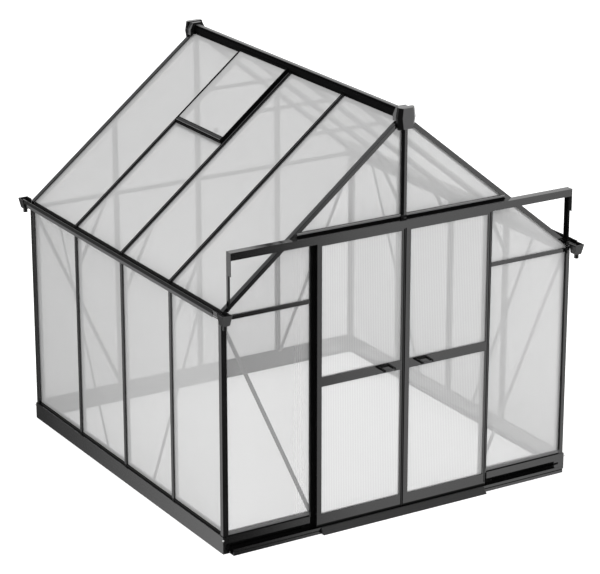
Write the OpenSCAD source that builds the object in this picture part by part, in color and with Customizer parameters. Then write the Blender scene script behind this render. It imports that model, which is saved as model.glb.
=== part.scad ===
// Walk-in greenhouse: slim box-section frame on a sheet base, twin-wall panes, gable roof with
// one vent, eave gutters, and two outside doors that slide apart in front of the gable wall.
// X runs along the doorway wall, Y from the doorway to the back wall, Z up from the ground.

/* [Footprint] */
// Width over the base sheets
base_w = 2440; // [1840:10:3040]
// Length over the base sheets
base_l = 2470; // [1870:10:3670]
// Height of the base sheets
base_h = 105; // [80:1:140]
// Width of the turned-in flanges of the base
base_flange = 30; // [24:1:34]
// Thickness of the base sheet
base_t = 2; // [1.5:0.5:3]

/* [Frame] */
// Number of bays in a side wall
side_bays = 4; // [3:1:6]
// Set-back of the corner posts from the base faces
corner_inset = 5; // [3:1:8]
// Further set-back of the side wall posts
side_inset = 8; // [6:1:10]
// Width of a post or rafter cap
cap_w = 30; // [28:1:36]
// Thickness of a post or rafter cap, over the pane
cap_t = 10; // [8:1:12]
// Width of the web between two panes
web_w = 8; // [6:1:10]
// Width of the inner box of a post or rafter
box_w = 20; // [18:1:24]
// Depth of the inner box of a post or rafter
box_d = 20; // [18:1:24]
// Width of a corner post cap on the gable side
corner_w = 33; // [31:1:36]

/* [Roof] */
// Height where the roof plane meets the gutter wall
eave_h = 1492; // [1300:1:1700]
// Height where the two roof planes meet
ridge_h = 2460; // [2240:1:2640]
// Depth of a gable rafter below the roof plane, on the outside
gable_face = 26; // [24:1:30]
// Width of the post in the gable over the doorway
gable_post_w = 36; // [32:1:42]
// Half width of the ridge beam between the roof panes
ridge_half = 16; // [14:1:18]
// Height of the ridge crown over the roof planes' meeting line
crown_h = 26; // [22:1:30]
// Half width of the ridge crown
crown_half = 24; // [20:1:28]
// Width of a ridge cap's boss
boss_w = 84; // [70:1:96]
// Height of a ridge cap's boss
boss_h = 132; // [120:1:150]
// Depth of a ridge cap's boss in front of the gable
boss_d = 40; // [30:1:48]
// Depth of a ridge cap's hood along the ridge
hood_d = 40; // [30:1:50]

/* [Panes] */
// Thickness of a twin-wall pane
pane_t = 6; // [4:1:8]
// Gap from a pane's edge to the web beside it
pane_gap = 2; // [1:0.5:3]
// Overhang of the roof panes into the gutter
pane_hang = 18; // [12:1:24]

/* [Gutter] */
// Width of the trough
gutter_w = 55; // [45:1:65]
// Height of the trough's outer wall above its floor
gutter_rise = 40; // [30:1:46]
// Wall thickness of the gutter
gutter_t = 3; // [2.5:0.5:3.5]
// Drop of the trough's underside below the top of the gutter wall
trough_drop = 37; // [34:1:40]
// Drop of the eave beam's top below the top of the gutter wall
beam_drop = 47; // [44:1:50]
// Side length of a square end outlet at its rim
outlet_w = 65; // [60:1:72]
// Height of an end outlet
outlet_h = 62; // [50:1:68]
// Radius of the drain spigot
spigot_r = 14; // [12:0.5:16]
// Length of the drain spigot
spigot_l = 28; // [20:1:40]

/* [Rails] */
// Height of the eave rails
rail_h = 24; // [20:1:28]
// Height of the underside of the eave rails
rail_z = 1429; // [1240:1:1640]
// Width of a flat diagonal brace
brace_w = 24; // [20:1:30]
// Thickness of a flat brace
brace_t = 3; // [2:0.5:4]
// Drop of the collar ties below the ridge line
tie_drop = 233; // [160:1:300]
// Reach of a knee brace along its post, and along its rafter
knee = 165; // [120:1:200]

/* [Door gear] */
// Height of the underside of the top track
track_z = 1795; // [1700:1:1860]
// Height of the top track
track_h = 45; // [40:1:50]
// Depth of the top track
track_d = 50; // [48:1:56]
// Set-back of the ends of the track and the guide rail from the base faces
track_end = 43; // [36:1:60]
// Height of the bottom guide rail's lip
guide_h = 39; // [34:1:42]
// Sheet thickness of the track and guide rail
track_t = 2.5; // [2:0.5:3]
// Radius of a door roller
roller_r = 8; // [6:0.5:9]

/* [Doors] */
// Width between the middles of the door posts
doorway_w = 1212; // [1000:2:1300]
// Offset of a door post's cap away from the doorway
cap_shift = 12; // [6:1:14]
// Reach of a closed leaf over the edge of its door post's inner box
leaf_lap = 5; // [3:1:10]
// Offset of the joint between the leaves from the middle
joint_x = -3; // [-6:1:6]
// Gap between the closed leaves
leaf_gap = 8; // [6:1:12]
// Thickness of a door leaf
leaf_t = 20; // [16:1:22]
// Width of a leaf's left stile
stile_w = 31; // [28:1:40]
// Width of a leaf's right stile
slim_w = 19; // [18:1:28]
// Height of the bottom door rail
kick_h = 71; // [60:1:110]
// Height of the middle door rail
mid_h = 57; // [45:1:70]
// Height of the underside of the middle door rail
mid_z = 919; // [850:1:1000]
// Distance of a roller from its leaf's edge
hanger_in = 60; // [45:1:80]
// Length of a door handle
handle_l = 100; // [80:1:120]
// Stand-off of a door handle
handle_d = 44; // [36:1:50]
// Distance of the left handle from the middle
left_grip = 98; // [60:1:120]
// Distance of the right handle from the middle
right_grip = 66; // [60:1:120]

/* [Vent] */
// Bay that holds the roof vent, counted from the front
vent_bay = 3; // [2:1:3]
// Length of the vent along the slope
vent_l = 620; // [450:5:720]
// Height of the vent frame
vent_h = 32; // [26:1:38]
// Width of the vent's bottom rail
vent_rail = 34; // [30:1:46]
// Width of the vent's side rails
vent_stile = 12; // [10:1:30]

/* [Hidden] */
$fn = 32;
frame_col = [0.17, 0.17, 0.175];
pane_col = [0.85, 0.86, 0.86, 0.55];
bow_col = [0.05, 0.05, 0.05];
side_face = base_w / 2 - corner_inset;      // outer side face of a corner post
end_face = base_l / 2 - corner_inset;       // outer gable face of a corner post
post_face = side_face - side_inset;         // outer face of a side wall post
pane_out = post_face - cap_t;               // outer face of a side wall pane
pane_in = pane_out - pane_t;
box_in = pane_in - box_d;                   // inner face of a side wall post
roof_half = pane_out - 2;                   // gutter wall, where the roof plane starts
pitch = atan((ridge_h - eave_h) / roof_half);
pane_n = cap_t + pane_t;                    // underside of a roof pane below the roof plane
box_n = pane_n + box_d;
end_step = base_l - 2 * corner_inset - corner_w;
bay = end_step / side_bays;
gable_out = end_face - cap_t;               // outer face of a gable wall pane
gable_in = gable_out - pane_t;
bar_in = gable_in - box_d;                  // inner face of a gable wall post
beam_top = eave_h - beam_drop;              // top of the eave beam, under the rafter feet
beam_bot = beam_top - box_d;
post_top = rail_z + rail_h;
door_post_x = doorway_w / 2;
door_cap_x = door_post_x + cap_shift;
door_side = door_cap_x - cap_w / 2;         // edge of the doorway
leaf_w = door_post_x - box_w / 2 + leaf_lap - leaf_gap / 2;
sill_h = 23;                                // bar behind the feet of the panes
sill_top = base_h + sill_h;
track_l = base_w - 2 * track_end;
tie_z = ridge_h - tie_drop;
seal_gap = 0.3;                             // gap between a pane and a cap that crosses it
cut = 1;
big = 4000;

// Height of a surface that lies n below the left or right roof plane, at distance x from the middle
function roof_z(x, n = 0) = ridge_h - x * tan(pitch) - n / cos(pitch);

// Cap, web and inner box of a post or rafter; the outer face lies on the X axis
module bar_profile(w = cap_w, inner = box_d) {
  chamfer = 2;
  difference() {
    union() {
      polygon([[-w / 2, -cap_t], [-w / 2, -chamfer], [chamfer - w / 2, 0],
               [w / 2 - chamfer, 0], [w / 2, -chamfer], [w / 2, -cap_t]]);
      translate([-web_w / 2, -pane_n]) square([web_w, pane_t + cut]);
      translate([-box_w / 2, -pane_n - inner]) square([box_w, inner]);
    }
    wall = 2;
    translate([wall - box_w / 2, wall - pane_n - inner]) square([box_w - 2 * wall, inner - 2 * wall]);
  }
}

// Everything under both roof planes, n below them
module under_roof(n) {
  rotate([90, 0, 0]) linear_extrude(big, center = true)
    polygon([[-big, -cut], [-big, roof_z(big, n)], [0, roof_z(0, n)], [big, roof_z(big, n)], [big, -cut]]);
}

// Puts a child on the left slope: X up the slope from the gutter wall, Z out of the roof
module on_left_slope() {
  translate([-roof_half, 0, eave_h]) rotate([0, -pitch, 0]) children();
}

module both_ends() {
  children();
  mirror([0, 1, 0]) children();
}

module both_sides() {
  children();
  mirror([1, 0, 0]) children();
}

// ---------- base ----------

sill_d = 12;
foot_back = 20;                             // set-back of the foot of the front base rail
// Base rail: a sheet with both edges turned in, its foot set back, and a sill bar for the panes on it.
// Its length lies along X and its outer face at y = 0; the sill stands sill_in further in than at a gable.
module base_rail(length, set_back, sill_in, sill_l) {
  step_z = base_h / 2 - 2;
  rotate([90, 0, 90]) linear_extrude(length, center = true)
    difference() {
      square([base_flange, base_h]);
      translate([base_t + set_back, base_t]) square([base_flange, base_h - 2 * base_t]);
      translate([base_t, step_z + base_t]) square([base_flange, base_h - 2 * base_t - step_z]);
      translate([-cut, -cut]) square([set_back + cut, step_z + cut]);
    }
  if (sill_l > 0)
    translate([-sill_l / 2, corner_inset + pane_n + sill_in, base_h]) cube([sill_l, sill_d, sill_h]);
}

corner_leg = base_flange + 12;

module base_left() {
  color(frame_col) translate([-base_w / 2, 0, 0]) rotate([0, 0, -90])
    base_rail(base_l - 2 * corner_leg, 0, side_inset, 2 * bar_in);
}

module base_right() {
  color(frame_col) mirror([1, 0, 0]) base_left();
}

module base_back() {
  color(frame_col) translate([0, base_l / 2, 0]) rotate([0, 0, 180])
    base_rail(base_w - 2 * corner_leg, 0, 0, 2 * box_in);
}

module base_front() {
  post_edge = door_cap_x + cap_w / 2;
  front_l = base_w / 2 - corner_leg - post_edge;
  sill_l = box_in - post_edge;
  color(frame_col) both_sides() {
    translate([-post_edge - front_l / 2, -base_l / 2, 0]) base_rail(front_l, foot_back, 0, 0);
    translate([-box_in, -gable_in, base_h]) cube([sill_l, sill_d, sill_h]);
  }
}

module base_corners() {
  color(frame_col) both_sides() both_ends()
    translate([-base_w / 2, -base_l / 2, 0]) difference() {
      cube([corner_leg, corner_leg, base_h]);
      translate([base_t, base_t, base_t]) cube([corner_leg, corner_leg, base_h - 2 * base_t]);
    }
}

ramp_run = 32;
ramp_l = 2 * (door_side - 21);
track_y = -end_face - track_d;              // front face of track and guide rail
module threshold_ramp() {
  ramp_t = 3;
  color(frame_col) translate([0, track_y, 0]) rotate([90, 0, 90]) linear_extrude(ramp_l, center = true)
    polygon([[-track_t, 0], [-track_t, guide_h / 2], [0, guide_h / 2], [0, guide_h - ramp_t],
             [-ramp_t, guide_h - ramp_t], [-ramp_run, ramp_t], [-ramp_run, 0]]);
}

module door_guide_rail() {
  rail_d = -base_l / 2 - track_y;
  color(frame_col) translate([0, track_y, 0]) rotate([90, 0, 90]) linear_extrude(track_l, center = true)
    union() {
      square([rail_d, track_t]);
      square([track_t, guide_h]);
      translate([rail_d - track_t, 0]) square([track_t, guide_h]);
      translate([-track_t, 0]) square([track_t + cut, guide_h / 2]);
    }
}

// ---------- posts and rails ----------

module corner_posts() {
  a = side_face - pane_out;
  a_in = side_face - pane_in;
  seat = 6;
  color(frame_col) both_sides() both_ends()
    translate([-side_face, -end_face, base_h]) linear_extrude(post_top - base_h)
      polygon([[0, 2], [2, 0], [corner_w, 0], [corner_w, cap_t], [a_in, cap_t], [a_in, pane_n],
               [a_in + box_w, pane_n], [a_in + box_w, pane_n + box_d], [a_in, pane_n + box_d],
               [a_in, pane_n + seat], [a, pane_n + seat], [a, corner_w], [0, corner_w]]);
}

// The room of the sills, from the inner face of the panes inward
module sill_room() {
  translate([-pane_in, -gable_in, 0]) cube([2 * pane_in, 2 * gable_in, sill_top]);
}

module side_posts() {
  difference() {
    for (i = [1 : side_bays - 1])
      translate([-post_face, -end_step / 2 + i * bay, base_h]) linear_extrude(beam_bot - base_h)
        rotate(90) bar_profile();
    sill_room();
  }
}

module left_wall_posts() {
  color(frame_col) side_posts();
}

module right_wall_posts() {
  color(frame_col) mirror([1, 0, 0]) side_posts();
}

module back_wall_posts() {
  color(frame_col) for (x = [-door_post_x, 0, door_post_x])
    difference() {
      translate([x, end_face, base_h]) linear_extrude(ridge_h) bar_profile();
      above_gable_rafters();
      sill_room();
    }
}

// The space from the gable rafters, the ridge beam and the ridge caps upward
module above_gable_rafters() {
  difference() {
    translate([-big / 2, -big / 2, eave_h / 2]) cube([big, big, big]);
    under_roof(gable_face);
  }
  difference() {
    translate([-big / 2, -gable_in, eave_h / 2]) cube([big, 2 * gable_in, big]);
    under_roof(box_n);
  }
  ridge_room(0);
}

// The room that the ridge beam and the ridge caps' bosses take up, grown by a gap
module ridge_room(gap) {
  translate([-ridge_half - gap, -big / 2, ridge_low - gap]) cube([2 * (ridge_half + gap), big, big]);
  translate([-big / 2, -big - end_face, boss_low]) cube([big, big, big]);
}

module door_posts() {
  color(frame_col) both_sides() translate([door_post_x, -end_face, 0])
    linear_extrude(track_z + track_h) {
      translate([cap_shift - cap_w / 2, 0]) square([cap_w, cap_t]);
      translate([-web_w / 2, cap_t - cut]) square([web_w, pane_t + 2 * cut]);
      translate([-box_w / 2, pane_n]) square([box_w, box_d]);
    }
}

post_right = gable_post_w / 2 - 2;         // right side of the gable post, off the middle
post_left = post_right - gable_post_w;
// Post in the gable over the door: a cap with a slanted left half, a web and an inner box
module gable_post() {
  nose = 9;
  shoulder = 2;
  foot = cross_z + rail_h;
  plan = [[post_left, -end_face - shoulder], [post_left + gable_post_w / 2, -end_face - nose],
          [post_right, -end_face - nose], [post_right, -gable_out], [post_left, -gable_out]];
  color(frame_col) difference() {
    union() {
      translate([0, 0, foot]) linear_extrude(ridge_h - foot) {
        polygon(plan);
        translate([-web_w / 2, -gable_out - cut]) square([web_w, pane_t + 2 * cut]);
        translate([-box_w / 2, -gable_in]) square([box_w, box_d]);
      }
      translate([0, 0, cross_z]) linear_extrude(ridge_h - cross_z) intersection() {
        polygon(plan);
        translate([-base_w, -end_face - 2 * nose]) square([2 * base_w, 2 * nose]);
      }
    }
    above_gable_rafters();
  }
}

// A horizontal rail in a gable wall: its cap from x = a to b, its web and inner bar from c to d
module gable_rail(a, b, c, d) {
  bar_h = rail_h - 8;
  translate([a, -end_face, 0]) cube([b - a, cap_t, rail_h]);
  translate([c, -gable_out, (rail_h - web_w) / 2]) cube([d - c, pane_t + cut, web_w]);
  translate([c, -gable_in, (rail_h - bar_h) / 2]) cube([d - c, box_d - 6, bar_h]);
}

cross_z = track_z + track_h;
module gable_cross_rail() {
  color(frame_col) difference() {
    translate([0, 0, cross_z]) gable_rail(-side_face, side_face, -side_face, side_face);
    above_gable_rafters();
  }
}

module eave_rails() {
  corner_cap = side_face - corner_w;
  corner_box = box_in;
  post_cap = door_post_x + cap_w / 2;
  post_box = door_post_x + box_w / 2;
  color(frame_col) translate([0, 0, rail_z]) {
    both_sides() gable_rail(-corner_cap, -post_cap - cap_shift, -corner_box, -post_box);
    mirror([0, 1, 0]) both_sides() {
      gable_rail(-corner_cap, -post_cap, -corner_box, -post_box);
      gable_rail(cap_w / 2 - door_post_x, -cap_w / 2, box_w / 2 - door_post_x, -box_w / 2);
    }
  }
}

// ---------- gutters ----------

trough_end = base_l / 2 + 18;
outlet_mid = trough_end + outlet_w / 2;
floor_z = eave_h - trough_drop;
// Trough in section: X across, Y up; the gutter wall stands on x = 0
module gutter_profile() {
  lip = 6;
  slope = 12;
  rest_z = roof_z(roof_half, pane_n) - seal_gap;
  rim_z = floor_z + gutter_rise;
  polygon([[gutter_t, rest_z], [0, rest_z], [0, floor_z + gutter_t],
           [slope - gutter_w + gutter_t / 2, floor_z + gutter_t],
           [-gutter_w + gutter_t, floor_z + slope + gutter_t], [-gutter_w + gutter_t, rim_z],
           [-gutter_w - lip / 2, rim_z], [-gutter_w - lip / 2, rim_z - lip], [-gutter_w, rim_z - lip],
           [-gutter_w, floor_z + slope], [slope - gutter_w, floor_z], [gutter_t, floor_z]]);
}

// Eave beam in section, with the flange that joins it to the trough
module beam_profile() {
  wall = 2;
  difference() {
    translate([roof_half - post_face, beam_bot]) square([post_face - box_in, box_d]);
    translate([roof_half - post_face + wall, beam_bot + wall])
      square([post_face - box_in - 2 * wall, box_d - 2 * wall]);
  }
  translate([0, beam_top - cut]) square([gutter_t, floor_z - beam_top + 2 * cut]);
}

module gutter() {
  beam_l = 2 * (gable_in - box_d);
  translate([-roof_half, 0, 0]) rotate([90, 0, 0]) {
    linear_extrude(2 * trough_end, center = true) gutter_profile();
    linear_extrude(beam_l, center = true) beam_profile();
  }
}

module left_gutter() {
  color(frame_col) gutter();
}

module right_gutter() {
  color(frame_col) mirror([1, 0, 0]) gutter();
}

// A square hopper w wide at the rim and h high, on z = 0: it tapers downwards on three sides
module hopper(w, h, taper) {
  intersection() {
    rotate([90, 0, 0]) linear_extrude(w, center = true)
      polygon([[taper - w / 2, 0], [w / 2 - taper, 0], [w / 2, h], [-w / 2, h]]);
    rotate([90, 0, 90]) linear_extrude(w, center = true)
      polygon([[taper - w / 2, 0], [w / 2, 0], [w / 2, h], [-w / 2, h]]);
  }
}

// Outlet box with a spigot below and a mouth towards the gutter
module outlet() {
  taper = 12;
  wall = gutter_t;
  floor_in = floor_z + gutter_t - outlet_z;
  mouth = gutter_w - 4 * gutter_t;
  difference() {
    union() {
      hopper(outlet_w, outlet_h, taper);
      translate([0, 0, -spigot_l]) cylinder(r = spigot_r, h = spigot_l + wall);
    }
    translate([0, 0, wall]) hopper(outlet_w - 2 * wall, outlet_h, taper);
    translate([-mouth / 2, 0, floor_in]) cube([mouth, outlet_w, outlet_h]);
    translate([0, 0, -spigot_l - cut]) cylinder(r = spigot_r - 2.5, h = spigot_l + 2 * wall);
  }
}

outlet_x = roof_half + gutter_w / 2;
outlet_z = floor_z + gutter_rise - 7 - outlet_h;
module gutter_outlets() {
  color(frame_col) both_sides() both_ends()
    translate([-outlet_x, -outlet_mid, outlet_z]) outlet();
}

// ---------- ridge ----------

ridge_low = roof_z(ridge_half, box_n);
beam_foot = roof_z(ridge_half, cap_t);      // where the crown's neck stands on the ridge beam
ridge_top = ridge_h + crown_h;
boss_low = ridge_top + 20 - boss_h;
crown_low = roof_z(ridge_half) + 2;         // underside of the crown, over the rafter caps
// Crown of the ridge in section, over the ridge beam
module ridge_crown_profile() {
  bead_h = 8;
  bead_half = crown_half - 8;
  groove_h = 3;
  edge = 4;
  body_top = ridge_top - bead_h - groove_h;
  half = [
    [ridge_half, beam_foot], [ridge_half, crown_low], [crown_half, crown_low], [crown_half, body_top],
    [bead_half - edge, body_top], [bead_half - edge, body_top + groove_h], [bead_half, body_top + groove_h],
    [bead_half, ridge_top - edge / 2], [bead_half - edge / 2, ridge_top]
  ];
  last = len(half) - 1;
  polygon(concat(half, [for (i = [0 : last]) [-half[last - i][0], half[last - i][1]]]));
}

module ridge_beam() {
  crown_l = 2 * (end_face - hood_d);
  color(frame_col) rotate([90, 0, 0]) {
    linear_extrude(crown_l, center = true) ridge_crown_profile();
    linear_extrude(2 * gable_out, center = true)
      polygon([[-ridge_half, ridge_low], [ridge_half, ridge_low],
               [ridge_half, beam_foot], [-ridge_half, beam_foot]]);
  }
}

// End cap of the ridge: a hood over the ridge's end, a collar, and a faceted boss in front of the gable
module ridge_cap() {
  top = ridge_top + 20;
  collar_d = 12;
  flat = boss_w * 0.4;
  waist_z = top - boss_h * 0.45;
  hip_z = boss_low + 36;
  lap = 3;
  hood_half = 55;
  hood_z = roof_z(hood_half, -32);
  translate([0, -end_face, 0]) rotate([90, 0, 0]) {
    translate([0, 0, -hood_d]) linear_extrude(hood_d)
      polygon([[-flat, top - 4], [-hood_half, hood_z], [lap - hood_half, roof_z(hood_half - lap, -1)],
               [0, ridge_h + 1],
               [hood_half - lap, roof_z(hood_half - lap, -1)], [hood_half, hood_z], [flat, top - 4]]);
    linear_extrude(collar_d)
      polygon([[-flat, top - 2], [-boss_w / 2 - 6, waist_z - 6], [-boss_w / 2 - 12, hip_z],
               [-flat - 8, boss_low], [flat + 8, boss_low],
               [boss_w / 2 + 12, hip_z], [boss_w / 2 + 6, waist_z - 6], [flat, top - 2]]);
    translate([0, 0, collar_d]) linear_extrude(boss_d - collar_d)
      polygon([[-flat, top], [-boss_w / 2, waist_z], [-flat, boss_low],
               [flat, boss_low], [boss_w / 2, waist_z], [flat, top]]);
  }
}

module ridge_caps() {
  color(frame_col) both_ends() ridge_cap();
}

// ---------- rafters ----------

cap_edge = ridge_half + 0.5;                // where rafter caps end, short of the crown's neck
cap_l = (roof_half - cap_edge) / cos(pitch);
bar_l = roof_half / cos(pitch);

// Trims a rafter's cap at the ridge and the gutter, and its bar at the ridge beam and the eave
module rafter(foot_z) {
  difference() {
    rafter_run() children(0);
    translate([-cap_edge, -big / 2, 0]) cube([big, big, big]);
    translate([-big - roof_half - 8, -big / 2, 0]) cube([big, big, big]);
    wall_room();
  }
  difference() {
    rafter_run() children(1);
    translate([-ridge_half, -big / 2, 0]) cube([big, big, big]);
    translate([-big, -big / 2, -big + foot_z]) cube([big, big, big]);
    translate([-big - roof_half, -big / 2, 0]) cube([big, big, big]);
    wall_room();
  }
}

// A section drawn out along the left slope, past both ends of a rafter
module rafter_run() {
  on_left_slope() rotate([90, 0, 90]) translate([0, 0, -2 * box_n]) linear_extrude(bar_l + 2 * box_n)
    children();
}

// The room of the gutter wall
module wall_room() {
  translate([-roof_half - big + gutter_t, -big / 2, -big + roof_z(roof_half, pane_n)])
    cube([big, big, big]);
}

module bay_rafter() {
  rafter(beam_top) {
    intersection() {
      bar_profile();
      translate([-cap_w, -cap_t]) square([2 * cap_w, 2 * cap_t]);
    }
    difference() {
      bar_profile();
      translate([-cap_w, -cap_t]) square([2 * cap_w, 2 * cap_t]);
    }
  }
}

vent_y0 = -end_step / 2 + (vent_bay - 1) * bay;
vent_s0 = cap_l - vent_l;
sill_w = 24;
module left_rafters() {
  color(frame_col) union() {
    for (i = [1 : side_bays - 1]) translate([0, -end_step / 2 + i * bay, 0]) bay_rafter();
    on_left_slope() translate([vent_s0 - sill_w / 2, vent_y0 + box_w / 2 - 1, -box_n])
      cube([sill_w, bay - box_w + 2, box_d]);
  }
}

module right_rafters() {
  color(frame_col) mirror([1, 0, 0])
    for (i = [1 : side_bays - 1]) translate([0, -end_step / 2 + i * bay, 0]) bay_rafter();
}

// Gable rafter in section: X inward from the gable face, Y out of the roof
module gable_rafter_cap() {
  polygon([[0, -gable_face], [0, -2], [2, 0], [cap_w, 0], [cap_w, -cap_t], [cap_t, -cap_t],
           [cap_t, -gable_face]]);
}

module gable_rafter_bar() {
  translate([cap_t, -pane_n]) square([cap_t, pane_n - cap_t]);
  translate([pane_n, -box_n]) square([box_w, box_d]);
}

module gable_rafter() {
  translate([0, -end_face, 0]) {
    rafter(post_top) {
      gable_rafter_cap();
      gable_rafter_bar();
    }
  }
}

module front_gable_rafters() {
  color(frame_col) both_sides() gable_rafter();
}

module back_gable_rafters() {
  color(frame_col) mirror([0, 1, 0]) both_sides() gable_rafter();
}

// ---------- door gear ----------

ledge_d = 8;
ledge_z = track_z + 13;
module door_track() {
  color(frame_col) translate([0, track_y, track_z]) rotate([90, 0, 90])
    linear_extrude(track_l, center = true) union() {
      difference() {
        square([track_d, track_h]);
        translate([track_t, -cut]) square([track_d - 2 * track_t, track_h - track_t + cut]);
      }
      translate([track_d - track_t - ledge_d, ledge_z - track_z]) square([ledge_d + cut, track_t]);
    }
}

module track_hangers() {
  leg = 20;
  leg_t = 2;
  plate_h = 140;
  foot = roof_z(track_l / 2, 0) - 22;
  color(frame_col) both_sides() translate([-track_l / 2, -end_face, foot]) {
    translate([-leg_t, -leg, 0]) cube([leg_t, leg, track_z + track_h - foot]);
    translate([-leg_t, -leg_t, 0]) cube([leg, leg_t, track_z - foot]);
    translate([-leg_t, -track_d, track_z + track_h - foot - plate_h]) cube([leg_t, track_d, plate_h]);
  }
}

// ---------- braces ----------

// A flat strip in the XZ plane from a to b, t thick along Y
module strip(a, b, w, t) {
  len = norm(b - a);
  ang = atan2(b[1] - a[1], b[0] - a[0]);
  rotate([90, 0, 0]) linear_extrude(t, center = true)
    translate(a) rotate(ang) translate([-w / 2, -w / 2]) square([len + w, w]);
}

module side_wall_braces() {
  top = [1.5 * bay, beam_bot + 8];
  foot = [0.5 * bay, base_h + 14];
  color(frame_col) both_sides() both_ends()
    translate([-box_in + brace_t / 2, 0, 0]) rotate([0, 0, 90]) strip(top, foot, brace_w, brace_t);
}

module end_wall_braces() {
  top = [side_face - 40, rail_z - 60];
  foot = [door_post_x + 8, base_h + 22];
  color(frame_col) both_sides() both_ends()
    translate([0, -bar_in + brace_t / 2, 0]) strip(top, foot, brace_w, brace_t);
}

module knee_braces() {
  low = [-box_in - 4, beam_bot - knee];
  high = [-box_in + knee, roof_z(box_in - knee, box_n) + 4];
  half = (box_w + brace_t) / 2;
  color(frame_col) for (i = [1 : side_bays - 1]) both_sides()
    translate([0, -end_step / 2 + i * bay - half, 0]) strip(low, high, brace_w, brace_t);
}

module collar_ties() {
  color(frame_col) intersection() {
    for (i = [1 : side_bays - 1]) translate([0, -end_step / 2 + i * bay - (box_w + brace_t) / 2, tie_z])
      cube([2 * roof_half, brace_t, brace_w], center = true);
    under_roof(pane_n + pane_gap);
  }
}

// ---------- panes ----------

module side_panes() {
  first = end_face - pane_n - 6 - pane_gap;
  edge = web_w / 2 + pane_gap;
  for (i = [0 : side_bays - 1]) {
    y0 = i == 0 ? -first : -end_step / 2 + i * bay + edge;
    y1 = i == side_bays - 1 ? first : -end_step / 2 + (i + 1) * bay - edge;
    translate([-pane_out, y0, base_h]) cube([pane_t, y1 - y0, beam_bot - base_h]);
  }
}

module left_wall_panes() {
  color(pane_col) side_panes();
}

module right_wall_panes() {
  color(pane_col) mirror([1, 0, 0]) side_panes();
}

// Panes of a gable wall between x = a and b: a lower one, and an upper one under the rafters
module gable_panes(a, b) {
  mid = rail_z + rail_h / 2;
  translate([a, -gable_out, base_h]) cube([b - a, pane_t, mid - 4 - base_h]);
  intersection() {
    translate([a, -gable_out, mid + 4]) cube([b - a, pane_t, ridge_low - mid - 4 - pane_gap]);
    under_roof(pane_n + pane_gap);
  }
}

corner_pane = pane_in - pane_gap;
module back_wall_panes() {
  edge = web_w / 2 + pane_gap;
  color(pane_col) mirror([0, 1, 0]) both_sides() {
    gable_panes(-corner_pane, -door_post_x - edge);
    gable_panes(edge - door_post_x, -edge);
  }
}

module front_wall_panes() {
  edge = web_w / 2 + pane_gap;
  over = cross_z + rail_h / 2 + web_w / 2;
  color(pane_col) both_sides() {
    difference() {
      gable_panes(-corner_pane, -door_post_x - edge);
      translate([-big, -big, over - web_w]) cube([2 * big, 2 * big, big]);
    }
    intersection() {
      translate([-base_w / 2, -gable_out, over])
        cube([base_w / 2 - edge, pane_t, ridge_low - over - pane_gap]);
      under_roof(pane_n + pane_gap);
    }
  }
}

slope_end = (roof_half - ridge_half - pane_gap) / cos(pitch) - pane_n * tan(pitch);
module slope_pane(y0, y1, s1) {
  on_left_slope() translate([-pane_hang, y0, -pane_n]) cube([s1 + pane_hang, y1 - y0, pane_t]);
}

module slope_panes(vented) {
  first = end_face - 2 * cap_t - pane_gap;
  edge = web_w / 2 + pane_gap;
  for (i = [0 : side_bays - 1]) {
    y0 = i == 0 ? -first : -end_step / 2 + i * bay + edge;
    y1 = i == side_bays - 1 ? first : -end_step / 2 + (i + 1) * bay - edge;
    slope_pane(y0, y1, vented && i == vent_bay - 1 ? vent_s0 - pane_gap : slope_end);
  }
}

module left_roof_panes() {
  color(pane_col) slope_panes(true);
}

module right_roof_panes() {
  color(pane_col) mirror([1, 0, 0]) slope_panes(false);
}

// ---------- vent ----------

vent_w = bay - cap_w - 4;
vent_head = 18;
vent_skin = 2;                              // frame over the vent's pane
vent_seat = 6;                              // depth of the groove that holds the vent's pane
vent_light = [vent_l - vent_rail - vent_head, vent_w - 2 * vent_stile];
module vent_frame() {
  color(frame_col) difference() {
    on_left_slope() translate([vent_s0, vent_y0 + bay / 2, -pane_n])
      difference() {
        translate([0, -vent_w / 2, 0]) cube([vent_l, vent_w, vent_h]);
        translate([vent_rail, -vent_light[1] / 2, -cut])
          cube([vent_light[0], vent_light[1], vent_h + 2 * cut]);
        vent_sheet();
      }
    translate([-cap_edge, -big / 2, 0]) cube([big, big, big]);
    translate([-crown_half - 2, -big / 2, crown_low - 2]) cube([big, big, big]);
  }
}

// The vent's pane, laid from the vent's lower corner
module vent_sheet() {
  translate([vent_rail - vent_seat, -vent_light[1] / 2 - vent_seat, vent_h - pane_t - vent_skin])
    cube([vent_light[0] + 2 * vent_seat, vent_light[1] + 2 * vent_seat, pane_t]);
}

module vent_pane() {
  color(pane_col) on_left_slope() translate([vent_s0, vent_y0 + bay / 2, -pane_n]) vent_sheet();
}

module vent_opener() {
  stem_s = vent_rail / 2 + 8;
  stem_h = 30;
  knob_h = 20;
  color(bow_col) on_left_slope() translate([vent_s0 + stem_s, vent_y0 + bay / 2, -pane_n]) {
    translate([0, 0, -stem_h]) cylinder(r = 6, h = stem_h);
    translate([0, 0, -stem_h - knob_h]) cylinder(r = 15, h = knob_h);
  }
}

// ---------- doors ----------

leaf_back = -base_l / 2 - 11;
leaf_z0 = guide_h + 6;
leaf_z1 = track_z + track_h - track_t - 7;
top_rail_z = track_z - 20;
groove = 8;
// Clear rectangles of a leaf: below and above the middle rail, as [z0, z1]
lights = [[leaf_z0 + kick_h, mid_z], [mid_z + mid_h, top_rail_z]];
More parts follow.
